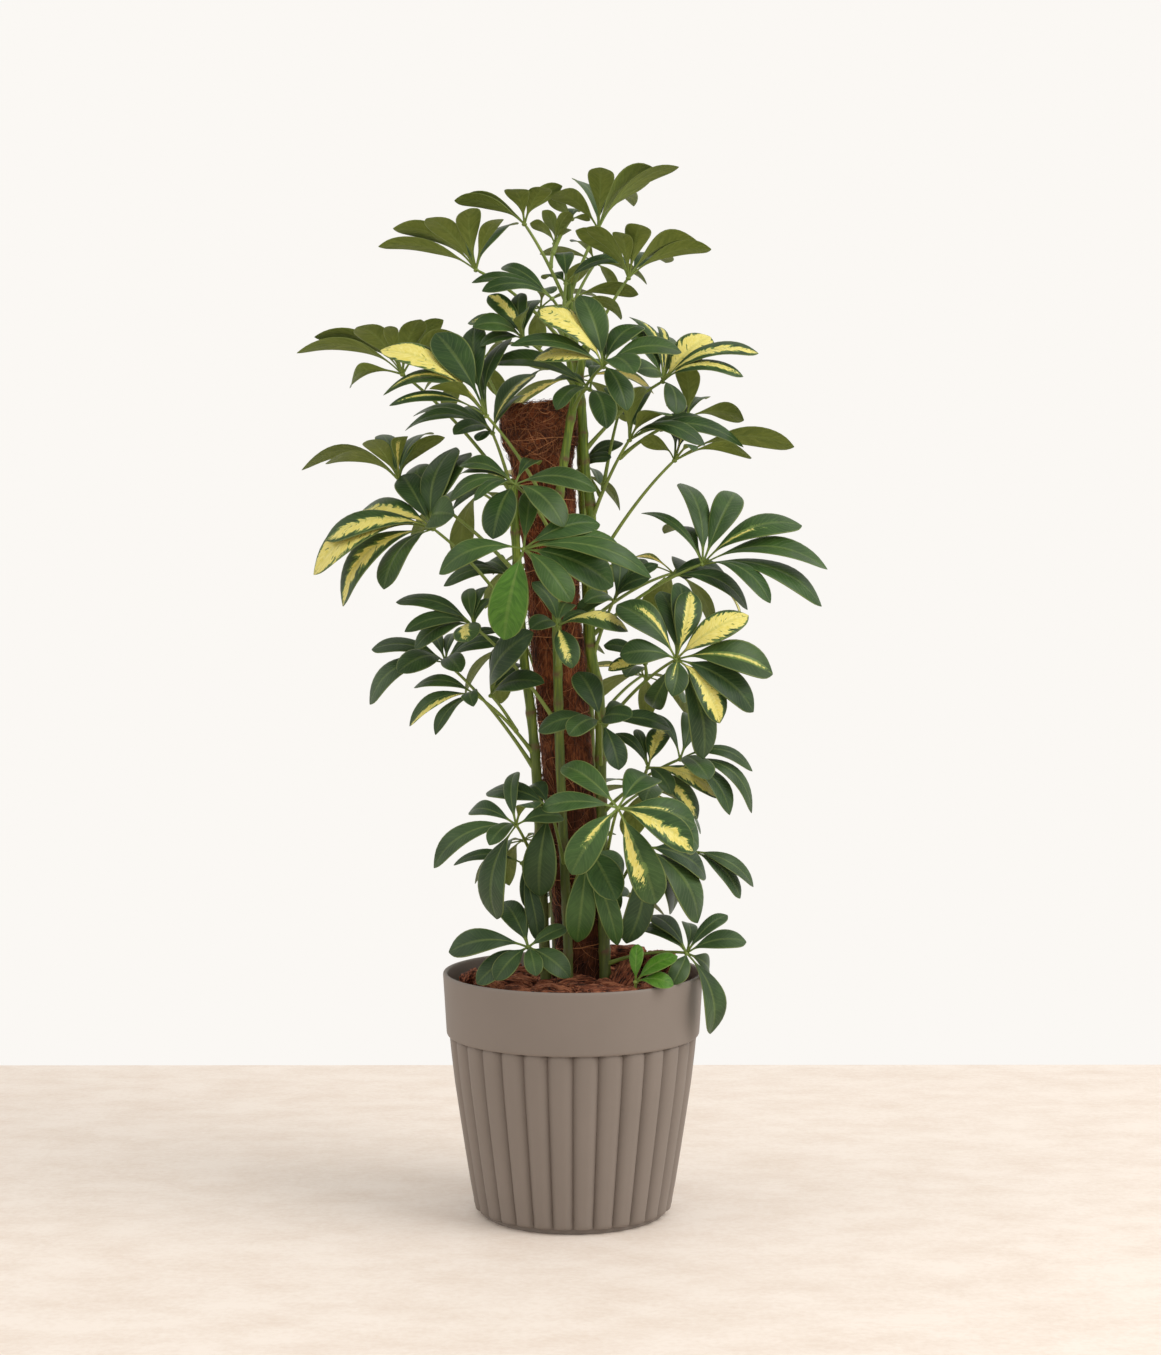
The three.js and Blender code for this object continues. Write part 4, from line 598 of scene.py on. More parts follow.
def coir_finish():
    """Matted coconut fibre, darker towards the soil, which is painted shade."""
    coir = Finish("matted_coir")
    place = coir.place()

    def strands(rotation, squeeze, scale):
        inputs = {"Vector": place, "Rotation": rotation, "Scale": (1, 1, squeeze)}
        return speckle(signal(coir.tree, "ShaderNodeMapping", inputs), scale, 3.0, 0.7)

    one = strands((0.2, 0.5, 0.3), 0.14, 700)
    two = strands((-0.5, -0.7, 0.8), 0.12, 620)
    tone = (speckle(place, 45, 3.0) - 0.5) * 0.7 + calc("MAXIMUM", one, two)
    dark = (34, 15, 8)
    colour = ramp(tone, (0.36, dark), (0.56, (116, 60, 34)), (0.78, (190, 118, 74)))
    # darker towards the soil: painted shade
    colour = mixed(ease(parts(place)[2], 0.62, 0.34) * 0.6, colour, dark)
    return coir.made(colour, 0.9, 0.25, tone, strength=0.9, distance=0.0016)


def fibre_finish():
    """Single coir hairs: each has a shade of its own."""
    fibre = Finish("loose_coir_hair")
    shade = parts(fibre.attribute("hair"))[0]
    colour = ramp(shade, (0.0, (60, 30, 17)), (0.5, (132, 74, 44)), (1.0, (196, 132, 86)))
    return fibre.made(colour, 0.7)


def bark_finish():
    """Fibrous red-brown chunks, grooved along their length."""
    bark = Finish("red_brown_bark")
    grain = bark.attribute("grain")
    run = speckle(stretched(grain, 0.12, 1, 1), 0.55, 4.0, 0.65)
    tone = (speckle(grain, 0.06) - 0.5) * 0.5 + run
    colour = ramp(tone, (0.36, (34, 16, 10)), (0.5, (130, 70, 46)), (0.64, (190, 122, 88)))
    return bark.made(colour, 0.85, 0.3, run, strength=1.0, distance=0.0035)


def soil_finish():
    """Dark, damp, crumbly soil."""
    soil = Finish("damp_soil")
    crumb = speckle(soil.place(), 240, 5.0, 0.7)
    colour = ramp(crumb, (0.35, (26, 17, 12)), (0.6, (64, 42, 30)), (0.8, (98, 66, 46)))
    return soil.made(colour, 0.95, relief=crumb, strength=1.0, distance=0.002)


def stake_finish():
    """Plain wood with lengthwise grain."""
    stake = Finish("stake_wood")
    grain = speckle(stretched(stake.place(), 1, 1, 0.05), 380, 4.0, 0.6)
    colour = shades(grain, (128, 98, 62), (188, 158, 112))
    return stake.made(colour, 0.75, relief=grain, strength=0.3, distance=0.0006)


def pot_finish():
    """Matt taupe-grey plastic with a very fine grain."""
    pot = Finish("matt_taupe_plastic")
    place = pot.place()
    grain = speckle(place, 1500)
    colour = mixed(speckle(place, 14, 3.0), (125, 115, 107), (134, 123, 115))
    return pot.made(colour, grain * 0.12 + 0.5, 0.4, grain, strength=0.12, distance=0.0003)


def floor_finish():
    """Pale beige with a faint mottle."""
    floor = Finish("pale_floor")
    place = floor.place()
    streak = speckle(stretched(place, 1, 1.6, 1), 11, 7.0, 0.68)
    tone = (speckle(place, 160, 3.0, 0.6) - 0.5) * 0.5 + streak
    return floor.made(ramp(tone, (0.3, (232, 217, 204)), (0.62, (243, 232, 222))), 0.6, 0.25)


# ---- making a piece ----


def blend(first, last, share):
    """The value at a share of the way from the first to the last."""
    return first + (last - first) * share


def around(radius, turn):
    """The x and y of a place at a radius and an angle."""
    return radius * math.cos(turn), radius * math.sin(turn)


def rough(place, scale, seed):
    """Smooth noise from -1 to 1 at a place in millimetres."""
    return noise.noise(Vector(place) * scale + Vector((seed * 7.3, seed * 3.1, seed * 1.7)))


def layer_of(bm, name):
    """A point attribute of three numbers."""
    layers = bm.verts.layers.float_vector
    return layers.get(name) or layers.new(name)


def mesh_of(name, bm):
    """The mesh of a modelled form, which is freed."""
    mesh = bpy.data.meshes.new(name)
    bm.to_mesh(mesh)
    bm.free()
    return mesh


def stand(name, data):
    """An object that stands in the scene."""
    made = bpy.data.objects.new(name, data)
    bpy.context.scene.collection.objects.link(made)
    return made


def finish_piece(name, bm, finishes, slot, *nodes):
    """Makes the object of a piece in metres, and lets it ride and stand for its solids."""
    bmesh.ops.scale(bm, vec=(MM, MM, MM), verts=bm.verts)
    for face in bm.faces:
        face.smooth = True
    piece = stand(name, mesh_of(name, bm))
    for finish in finishes:
        piece.data.materials.append(finish)
    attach(piece, "root")
    if nodes:
        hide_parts(*nodes)
    return piece


def turn_about_z(bm, line, steps):
    """Turns a line of vertices, which starts and ends on the axis, into a closed skin."""
    edges = [bm.edges.new(pair) for pair in zip(line, line[1:])]
    bmesh.ops.spin(bm, geom=line + edges, axis=(0, 0, 1), angle=TURN, steps=steps, use_merge=True)
    bmesh.ops.remove_doubles(bm, verts=bm.verts, dist=0.001)


@functools.cache
def tube_blank(steps, sides):
    """A closed straight tube of radius 1 whose rings stand at heights 0, 1, 2 and so on."""
    bm = bmesh.new()
    bmesh.ops.create_circle(bm, cap_ends=True, radius=1, segments=sides)
    bmesh.ops.reverse_faces(bm, faces=bm.faces)
    rim = bm.edges[:]
    for _ in range(steps):
        grown = bmesh.ops.extrude_edge_only(bm, edges=rim)["geom"]
        rim = [g for g in grown if isinstance(g, bmesh.types.BMEdge) and g.is_boundary]
        ring = [g for g in grown if isinstance(g, bmesh.types.BMVert)]
        bmesh.ops.translate(bm, vec=(0, 0, 1), verts=ring)
    bmesh.ops.contextual_create(bm, geom=rim)
    bmesh.ops.recalc_face_normals(bm, faces=bm.faces)
    return mesh_of("blank", bm)


def add_copy(bm, mesh, material=0):
    """Adds a mesh to a piece and gives back its new vertices."""
    vertices, faces = len(bm.verts), len(bm.faces)
    bm.from_mesh(mesh)
    bm.verts.ensure_lookup_table()
    bm.faces.ensure_lookup_table()
    for face in bm.faces[faces:]:
        face.material_index = material
    return bm.verts[vertices:]


def frames_along(points):
    """A centre, an across and an other direction for each point, turning as little as may be."""
    made = []
    across = None
    for i, point in enumerate(points):
        ahead = points[min(i + 1, len(points) - 1)] - points[max(i - 1, 0)]
        along = ahead.normalized()
        if across is None:
            across = along.orthogonal().normalized()
        across = (across - across.dot(along) * along).normalized()
        made.append((point, across, along.cross(across)))
    return made


def add_tube(bm, points, radii, sides, material=0):
    """A tube through points, with a radius at each; gives back its vertices with their places."""
    frames = frames_along(points)
    placed = []
    for vertex in add_copy(bm, tube_blank(len(points) - 1, sides), material):
        i = round(vertex.co.z)
        centre, across, other = frames[i]
        vertex.co = centre + (across * vertex.co.x + other * vertex.co.y) * radii[i]
        placed.append((vertex, i))
    return placed


# ---- where things stand ----


def seen(x, z, depth):
    """The place on the line of sight through (x, z) of the axis plane, at a depth behind it."""
    share = (depth - EYE.y) / -EYE.y
    return EYE + (Vector((x, 0, z)) - EYE) * share


class StemCurve:
    """A centripetal Catmull-Rom curve through points."""

    def __init__(self, points):
        first, last = points[0] * 2 - points[1], points[-1] * 2 - points[-2]
        self.points = [first, *points, last]

    def at(self, share):
        spans = len(self.points) - 3
        place = min(share, 1) * spans
        span = min(int(place), spans - 1)
        a, b, c, d = self.points[span:span + 4]
        gaps = [max(1e-4, (q - p).length_squared ** 0.25) for p, q in ((a, b), (b, c), (c, d))]
        leave = ((b - a) / gaps[0] - (c - a) / (gaps[0] + gaps[1]) + (c - b) / gaps[1]) * gaps[1]
        reach = ((c - b) / gaps[1] - (d - b) / (gaps[1] + gaps[2]) + (d - c) / gaps[2]) * gaps[1]
        t = place - span
        return (b + leave * t + (-3 * b + 3 * c - 2 * leave - reach) * t * t
                + (2 * b - 2 * c + leave + reach) * t ** 3)

    def at_height(self, height):
        low, high = 0.0, 1.0
        for _ in range(30):
            half = (low + high) / 2
            if self.at(half).z < height:
                low = half
            else:
                high = half
        return self.at(low)


class StalkCurve:
    """A leaf stalk from its foot to its hub, with a light rise in the middle."""

    def __init__(self, foot, hub, bend):
        self.foot, self.hub = foot, hub
        self.way = (foot + hub) / 2 + Vector((0, bend, 0.12 * (hub - foot).length))

    def at(self, t):
        return self.foot * (1 - t) ** 2 + self.way * (2 * t * (1 - t)) + self.hub * t * t

    def heading(self, t):
        return ((self.way - self.foot) * (1 - t) + (self.hub - self.way) * t).normalized()

    def length(self):
        return sum((self.at((i + 1) / 40) - self.at(i / 40)).length for i in range(40))


stem_curves = {name: StemCurve([seen(*point) for point in points])
               for name, (_, points) in STEMS.items()}
leaf_rows = {row.name: row for row in LEAVES}
leaf_curves = {}


def node_of(row):
    """The solid that a leaf belongs to: its own, or that of the leaf it grows from."""
    host = leaf_rows.get(row.host[0])
    return node_of(host) if host else row.name


@functools.cache
def vertices_of(node):
    """A solid's vertices in millimetres, to be searched by place."""
    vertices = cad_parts[node].data.vertices
    tree = KDTree(len(vertices))
    for vertex in vertices:
        tree.insert(vertex.co / MM, vertex.index)
    tree.balance()
    return tree


def miss(node, place):
    """How far a place is from the nearest vertex of a solid, in millimetres."""
    return vertices_of(node).find(place)[2]


def foot_of(row, slide):
    """Where a leaf's stalk starts: in the soil, on a stem or on another leaf's stalk."""
    host, *place = row.host
    if host == "soil":
        return Vector((*place, SOIL_TOP - STALK_ROOT))
    if host in STEMS:
        return stem_curves[host].at_height(place[0] + slide)
    return leaf_curves[host].at(place[0])


def stalk_of(row):
    """The stalk's curve, with the slide and bend that its solid has."""
    hub = seen(*row.hub)
    node = node_of(row)
    tried = []
    for slide in STALK_SLIDES:
        foot = foot_of(row, slide)
        for bend in STALK_BENDS:
            curve = StalkCurve(foot, hub, bend)
            steps = max(2, min(3, round(curve.length() / 36)))
            along = curve.heading(1 / steps)
            across = Vector((1, 0.3, 0)).normalized().cross(along).normalized()
            other = along.cross(across)
            radius = blend(*STALK_RADIUS, 1 / steps)
            off = sum(miss(node, curve.at(1 / steps) + side * radius)
                      for side in (across, -across, other, -other))
            tried.append((off, curve))
    return min(tried, key=lambda pair: pair[0])[1]


def leaflets_of(row):
    """Each leaflet's name in its leaf, its tip, its width and its arch, before any bend."""
    hub = seen(*row.hub)
    if row.ring:
        count, turn, droop = row.ring
        face = Vector(row.face).normalized()
        across = Vector((1, 0, 0)).cross(face).normalized()
        other = face.cross(across)
        for k in range(count):
            far = row.reach * (SHORT_IN_RING if k % 3 == 2 else 1)
            x, y = around(math.sqrt(1 - droop * droop) * far, TURN * (k + turn) / count)
            yield k, hub - face * (droop * far) + across * x + other * y, WIDTH_SHARE * far, ARCH
    for x, z, lean, *rest in row.tips:
        shown = math.hypot(x - row.hub[0], z - row.hub[1])
        hidden = math.sqrt(max(0, row.reach ** 2 - shown ** 2))
        tip = seen(x, z, row.hub[2] + lean * hidden)
        width, arch = (*rest, *(WIDTH_SHARE * row.reach, ARCH)[len(rest):])
        yield (x, z), tip, width, arch


def end_of(row, tip):
    """Where a leaflet ends: its tip with the bend and length that its solid has."""
    hub = seen(*row.hub)
    node = node_of(row)
    tried = []
    for shorter in SHORTER:
        for bend in BENDS:
            share = (tip.y + bend - EYE.y) / (tip.y - EYE.y)
            end = (EYE + (tip - EYE) * share).lerp(hub, 1 - shorter)
            tried.append((miss(node, end), end))
    return min(tried, key=lambda pair: pair[0])[1]


# ---- leaves ----

BLADE_ROWS = 8
STALK_ROWS = 2
COLUMNS = (-1, -0.52, -0.05, 0.05, 0.52, 1)
MIDRIB = 0.2  # columns nearer the middle than this are the midrib
STALK_HALF = 1.15  # half the width of a leaflet's own stalk
TIP_HALF = 0.35
WIDENED = 1.05  # makes up for what the rounding takes off the edge
STALK_STEPS = 12
STALK_SHOWN = (2.2, 1.45)  # the stalk's radius at its foot and at its hub
KNOB_RADIUS = 2.9
BROAD = 0.3  # the width over the length of a broad leaflet
SLENDER = 0.16  # and of a slender one
# How leaflets differ: the exponents of their outline at the base, and at the tip of a broad and
# of a slender one, and by how much they bend sideways, twist, ripple, fold and curl.
BASE_POWERS = (0.72, 1.0)
BROAD_TIP_POWERS = (0.46, 0.58)
SLENDER_TIP_POWERS = (0.6, 0.74)
WEDGE = 0.4  # added to the base's exponent high on the plant, where leaflets are seen from below
SWAY = 0.025
ROLL = 0.16
RIPPLE = (0.4, 1.5)
FOLD = (0.04, 0.3)
CURL = (0.0, 0.04)
# Thickness at the leaflet's foot and tip, of the midrib and of the blade.
MIDRIB_THICK = (1.7, 0.9)
BLADE_THICK = (1.1, 0.55)
LEAFLET_LAYERS = ("blade", "traits", "splash")


@functools.cache
def leaflet_blank():
    """A flat closed leaflet: x is the row, y the column, and z 1 on the upper side."""
    bm = bmesh.new()
    rows, columns = BLADE_ROWS + STALK_ROWS, len(COLUMNS) - 1
    bmesh.ops.create_grid(bm, x_segments=rows, y_segments=columns, size=1)
    for vertex in bm.verts:
        vertex.co.x = round((vertex.co.x + 1) / 2 * rows)
        vertex.co.y = COLUMNS[round((vertex.co.y + 1) / 2 * columns)]
    bmesh.ops.solidify(bm, geom=bm.faces[:], thickness=1)
    top = max(vertex.co.z for vertex in bm.verts)
    for vertex in bm.verts:
        vertex.co.z = 1 if abs(vertex.co.z - top) < 0.5 else 0
    bmesh.ops.recalc_face_normals(bm, faces=bm.faces)
    # a leaflet in its place is the blank's mirror image, so its faces are turned round here
    bmesh.ops.reverse_faces(bm, faces=bm.faces)
    return mesh_of("blank", bm)


def blade_share(row):
    """How far along the blade a row stands: closer together towards both ends."""
    k = (row - STALK_ROWS) / BLADE_ROWS
    return 0.45 * k + 0.55 * (1 - math.cos(math.pi * k)) / 2


def outline(share, low, high):
    """The blade's half width over its greatest, from its exponents at the base and at the tip."""
    if share <= 0 or share >= 1:
        return 0
    peak = low / (low + high)
    return (share / peak) ** low * ((1 - share) / (1 - peak)) ** high


def across_of(row, along):
    """The way across a blade, turned until it shows its least share from the front."""
    across = along.cross(Vector(row.face)).normalized()
    up = across.cross(along)
    front = (Vector((0, -1, 0)) + along * along.y).normalized()
    shown = up.dot(front)
    if row.ring or abs(shown) >= LEAST_SHOWN:
        return across
    side = (up - front * shown).normalized()
    least = math.copysign(LEAST_SHOWN, shown)
    return along.cross(front * least + side * math.sqrt(1 - least * least))


def shown_share(along, across):
    """The share of its width that a leaflet shows from the front."""
    return abs(along.x * across.z - along.z * across.x) / math.hypot(along.x, along.z)


def add_leaflet(bm, row, name, tip, width, arch, draw):
    """One leaflet, from its thin stalk at the hub to its tip, lying on its solid."""
    hub = seen(*row.hub)
    end = end_of(row, tip)
    length = (end - hub).length
    along = (end - hub) / length
    across = across_of(row, along)
    up = across.cross(along)
    if row.tips:
        width = min(width / shown_share(along, across), WIDEST * length)
    half = width / 2 * WIDENED
    slender = max(0.0, min(1.0, (BROAD - width / length) / (BROAD - SLENDER)))
    low = draw.uniform(*BASE_POWERS) + (WEDGE if up.y > 0.1 else 0)
    high = blend(draw.uniform(*BROAD_TIP_POWERS), draw.uniform(*SLENDER_TIP_POWERS), slender)
    sway = draw.uniform(-SWAY, SWAY) * length
    roll = draw.uniform(-ROLL, ROLL)
    wave = draw.uniform(*RIPPLE)
    phase = draw.uniform(0, TURN)
    fold = draw.uniform(*FOLD)
    curl = (draw.uniform(*CURL) + 0.03 * slender) * length
    blade, traits, splash = (layer_of(bm, key) for key in LEAFLET_LAYERS)
    centre, spread, far = SPLASHES.get(row.name, {}).get(name, (0, 0, 0))
    patch = Vector((centre, spread, blend(row.stalk, 1, far) if spread else far))
    youth = YOUTH.get((row.name, name), YOUTH.get(row.name, 0))
    mark = Vector((draw.uniform(0, 50), youth, draw.uniform(0, 1)))
    for vertex in add_copy(bm, leaflet_blank()):
        number, side, upper = vertex.co
        if number <= STALK_ROWS:
            share = row.stalk * number / STALK_ROWS
            wide = STALK_HALF * (1.15 - 0.25 * number / STALK_ROWS)
            flat = 0.0
        else:
            flat = blade_share(number)
            share = blend(row.stalk, 1, flat)
            wide = max(half * outline(flat, low, high), STALK_HALF * (1 - flat) ** 2, TIP_HALF)
        rise = 4 * arch * length * share * (1 - share) - curl * max(0, flat - 0.75) * 4 * flat
        ripple = wave * math.sin(9 * share + phase + 1.6 * side) * min(1, wide / 8)
        rise += fold * wide * abs(side) + (ripple - 0.14 * wide) * side * side
        rise += side * wide * math.sin(roll * flat)
        slide = side * wide * math.cos(roll * flat) + sway * math.sin(math.pi * share)
        if not upper:
            rib = abs(side) < MIDRIB
            rise -= blend(*MIDRIB_THICK, min(1, share * 1.3)) if rib else blend(*BLADE_THICK, flat)
        vertex.co = hub + along * (share * length) + across * slide + up * rise
        vertex[blade] = Vector((share, side, upper))
        vertex[traits] = mark
        vertex[splash] = patch


def add_stalk(bm, row, draw):
    """A leaf's stalk, swollen where it leaves the stem, and the small knob at its hub."""
    shares = [i / STALK_STEPS for i in range(STALK_STEPS + 1)]
    points = [leaf_curves[row.name].at(share) for share in shares]
    radii = [blend(*STALK_SHOWN, share) + 1.3 * math.exp(-share * 14)
             + 0.5 * math.exp(-(1 - share) * 22) for share in shares]
    radii[-1] *= 0.8
    add_tube(bm, points, radii, 8, 1)
    face = Vector(row.face).normalized()
    for vertex in bmesh.ops.create_icosphere(bm, subdivisions=2, radius=KNOB_RADIUS)["verts"]:
        vertex.co -= face * vertex.co.dot(face) * 0.3
        vertex.co *= 1 + 0.12 * rough(vertex.co, 0.5, draw.uniform(0, 9))
        vertex.co += seen(*row.hub) - face * 0.6
        for face_of in vertex.link_faces:
            face_of.material_index = 1


def make_leaves(blade_green, stalk_green):
    """Each solid's leaves: its own and those that grow from it."""
    grown = {}
    for row in LEAVES:
        leaf_curves[row.name] = stalk_of(row)
        grown.setdefault(node_of(row), []).append(row)
    for node, rows in grown.items():
        bm = bmesh.new()
        for key in LEAFLET_LAYERS:
            layer_of(bm, key)
        for row in rows:
            draw = random.Random(row.name)
            add_stalk(bm, row, draw)
            for leaflet in leaflets_of(row):
                add_leaflet(bm, row, *leaflet, draw)
        piece = finish_piece("fine_" + node, bm, [blade_green, stalk_green], "leaf", node)
        rounding = piece.modifiers.new("rounding", "SUBSURF")
        rounding.levels = 1
        rounding.render_levels = 1


# ---- stems ----

STEM_STEP = 4
FIRST_NODE = 60  # above the stem's foot
NODE_GAPS = (24, 46)
NODE_SWELL = 0.75
YOUNG_BARK = 620  # bark is young from this height up
OLD_BARK = 200  # and old from this height down


def make_stem(name, finish):
    """A stem with swollen nodes and a brown scar at each."""
    (foot, top), points = STEMS[name]
    draw = random.Random(name)
    steps = round((points[-1][1] - points[0][1]) / STEM_STEP)
    path = [stem_curves[name].at(i / steps) for i in range(steps + 1)]
    nodes = []
    height = path[0].z + FIRST_NODE
    while height < path[-1].z - 10:
        nodes.append(height)
        height += draw.uniform(*NODE_GAPS)
    near = [min(abs(point.z - node) for node in nodes) for point in path]
    bm = bmesh.new()
    bark = layer_of(bm, "bark")
    radii = [blend(foot, top, i / steps) + NODE_SWELL * math.exp(-(near[i] / 3.5) ** 2)
             + 0.25 * rough(point, 0.03, 2) for i, point in enumerate(path)]
    radii[-1] *= 0.45
    for vertex, i in add_tube(bm, path, radii, 14):
        scar = math.exp(-(near[i] / 2.6) ** 2)
        age = max(0.0, min(1.0, (YOUNG_BARK - path[i].z) / (YOUNG_BARK - OLD_BARK)))
        vertex[bark] = Vector((scar, age, 0))
        vertex.co += (vertex.co - path[i]) * 0.07 * rough(vertex.co, 0.06, 5)
    finish_piece("grown_" + name, bm, [finish], "stem", name)


# ---- the pot ----


def make_pot(finish):
    """The pot, turned from its section, with flutes sunk between their crowns, and drilled."""
    bm = bmesh.new()
    sunk = layer_of(bm, "sunk")
    line = []
    for radius, height, depth in POT_SECTION:
        vertex = bm.verts.new((0, -radius, height))
        vertex[sunk] = Vector((depth, 0, 0))
        line.append(vertex)
    turn_about_z(bm, line, FLUTES * STEPS_IN_FLUTE)
    for vertex in bm.verts:
        depth = vertex[sunk].x * FLUTE_DEPTH
        radius = math.hypot(vertex.co.x, vertex.co.y)
        if depth and radius:
            turn = (math.atan2(vertex.co.x, -vertex.co.y) / TURN * FLUTES) % 1
            vertex.co.xy *= 1 - depth * abs(2 * turn - 1) ** 3 / radius
    bmesh.ops.recalc_face_normals(bm, faces=bm.faces)
    pot = finish_piece("fluted_pot", bm, [finish], "pot", "pot")
    drill = bmesh.new()
    for k in range(DRAIN_HOLES):
        x, y = around(DRAIN_CIRCLE * MM, TURN * (k + 0.5) / DRAIN_HOLES)
        bmesh.ops.create_cone(drill, cap_ends=True, segments=24, radius1=DRAIN_RADIUS * MM,
                              radius2=DRAIN_RADIUS * MM, depth=DRILL_LENGTH * MM,
                              matrix=Matrix.Translation((x, y, DRILL_MIDDLE * MM)))
    tool = stand("drill", mesh_of("drill", drill))
    cut = pot.modifiers.new("drain holes", "BOOLEAN")
    cut.operation = "DIFFERENCE"
    cut.object = tool
    cut.solver = "EXACT"
    bpy.context.view_layer.update()
    drilled = pot.evaluated_get(bpy.context.evaluated_depsgraph_get())
    mesh = bpy.data.meshes.new_from_object(drilled)
    pot.modifiers.clear()
    pot.data = mesh
    bpy.data.objects.remove(tool)
    for polygon in mesh.polygons:
        polygon.use_smooth = True
    mesh.set_sharp_from_angle(angle=SHARP)


# ---- bark mulch ----


def make_bed(finish):
    """The mulch's uneven bed, lower at the pot's wall."""
    bm = bmesh.new()
    places = [(MULCH_RADIUS * i / 25, MULCH_BED) for i in range(26)]
    places += [(MULCH_RADIUS, SOIL_TOP + GAP), (0, SOIL_TOP + GAP)]
    turn_about_z(bm, [bm.verts.new((x, 0, z)) for x, z in places], 96)
    for vertex in bm.verts:
        if vertex.co.z > MULCH_BED - 1:
            out = vertex.co.to_2d().length
            vertex.co.z += 2.2 * rough(vertex.co, 0.06, 1) + 1.2 * rough(vertex.co, 0.2, 2)
            vertex.co.z -= 3 * max(0, out - BED_EDGE) / (MULCH_RADIUS - BED_EDGE)
    bmesh.ops.recalc_face_normals(bm, faces=bm.faces)
    finish_piece("mulch_bed", bm, [finish], "mulch", "bark_mulch")


def strewn(draw):
    """Where the chunks lie and their half lengths: the placed ones, and others between them."""
    chunks = [(x, y, size) for x, y, size, *_ in PLACED_CHUNKS]
    for count, least, most, spread in STREWN_CHUNKS:
        tries = 0
        made = 0
        while made < count and tries < MOST_TRIES:
            tries += 1
            size = draw.uniform(least, most)
            out = math.sqrt(draw.uniform(0, 1)) * (MULCH_RADIUS - 3 - size * 0.6)
            x, y = around(out, draw.uniform(0, TURN))
            if all(math.hypot(x - a, y - b) > (size + other) * spread for a, b, other in chunks):
                chunks.append((x, y, size))
                made += 1
    return chunks


def add_chunk(bm, place, size, thick, shift):
    """A blocky chunk, wrinkled and grooved lengthwise, and broken off at its ends."""
    grain = layer_of(bm, "grain")

    def waves(x, y, z):
        return noise.noise(Vector((x, y, z)) + shift)

    levels = 3 + (size > LARGE_CHUNK) + (size > DETAILED_CHUNK)
    for vertex in bmesh.ops.create_icosphere(bm, subdivisions=levels, radius=1)["verts"]:
        unit = vertex.co.copy()
        blocky = Vector([math.copysign(abs(part) ** 0.75, part) for part in unit])
        spot = Vector((blocky.x * size, blocky.y * size * 0.52, blocky.z * thick))
        bent = spot.y + 3 * waves(spot.x * 0.05, 0, 0)
        groove = waves(spot.x * 0.025, bent * 0.34, spot.z * 0.34)
        crease = max(0, 1 - abs(waves(spot.x * 0.045, bent * 0.62, spot.z * 0.62)) * 3)
        spot *= 1 + 0.24 * waves(*spot * 0.08)
        spot += unit * (1.6 * groove - 1.1 * crease + 0.5 * waves(*spot * 0.8))
        vertex[grain] = spot + shift
        vertex.co = place @ spot
        vertex.co.z = min(vertex.co.z, MULCH_TOP)


def make_bark(finish):
    """Red-brown chunks and crumbs of bark on the bed."""
    bm = bmesh.new()
    grain = layer_of(bm, "grain")
    draw = random.Random(11)
    for number, (x, y, size) in enumerate(strewn(draw)):
        thick = size * draw.uniform(0.34, 0.46)
        turn = draw.uniform(0, math.pi)
        if math.hypot(x, y) > RIM_CHUNKS:
            turn = math.atan2(y, x) + math.pi / 2 + draw.uniform(-0.5, 0.5)
        tilt = draw.uniform(-0.2, 0.2)
        lift = HEAP * (size > LARGE_CHUNK) + thick * 0.5
        if number < len(PLACED_CHUNKS):
            *_, turn, tilt, lift = PLACED_CHUNKS[number]
            turn, tilt = math.radians(turn), math.radians(tilt)
        place = (Matrix.Translation((x, y, MULCH_BED + lift))
                 @ Matrix.Rotation(turn, 4, "Z") @ Matrix.Rotation(tilt, 4, "Y"))
        add_chunk(bm, place, size, thick, Vector((number * 31.7, number * 17.3, 0)))
    for _ in range(CRUMBS):
        out = math.sqrt(draw.uniform(0, 1)) * (MULCH_RADIUS - 4)
        x, y = around(out, draw.uniform(0, TURN))
        place = Vector((x, y, MULCH_BED + draw.uniform(1, 4)))
        size = draw.uniform(1.2, 3.6)
        spin = Matrix.Rotation(draw.uniform(0, math.pi), 3, "Z")
        for vertex in bmesh.ops.create_icosphere(bm, subdivisions=1, radius=size)["verts"]:
            spot = spin @ Vector((vertex.co.x * 1.7, vertex.co.y * 0.8, vertex.co.z * 0.6))
            vertex[grain] = spot * 2 + place
            vertex.co = place + spot * (1 + 0.5 * noise.noise(vertex.co + place))
    finish_piece("bark_chunks", bm, [finish], "mulch")


# ---- the coir pole ----


def on_pole(height, turn, radius):
    """A place on the pole: a height above the wrap's foot, a turn about the pole, a radius."""
    across = Vector((0, 1, 0)).cross(POLE_LEAN).normalized()
    x, y = around(radius, turn)
    return POLE_FOOT + POLE_LEAN * height + across * x + POLE_LEAN.cross(across) * y


def wrap_radius(height):
    """The wrap's radius at a height above its foot."""
    for (low, start), (high, end) in zip(WRAP, WRAP[1:]):
        if height <= high:
            share = max(0, (height - low) / (high - low))
            return blend(start, end, share * share * (3 - 2 * share))
    return WRAP[-1][1]


def matting(height, turn):
    """How far the matted fibres stand out at a place on the wrap."""
    place = Vector((*around(26, turn), height))
    coarse = noise.noise(place * 0.06)
    fine = noise.noise(Vector((place.x * 0.5, place.y * 0.5, place.z * 0.16)))
    return 1.1 * coarse + 0.9 * fine + 0.5 * noise.noise(place * 0.7)


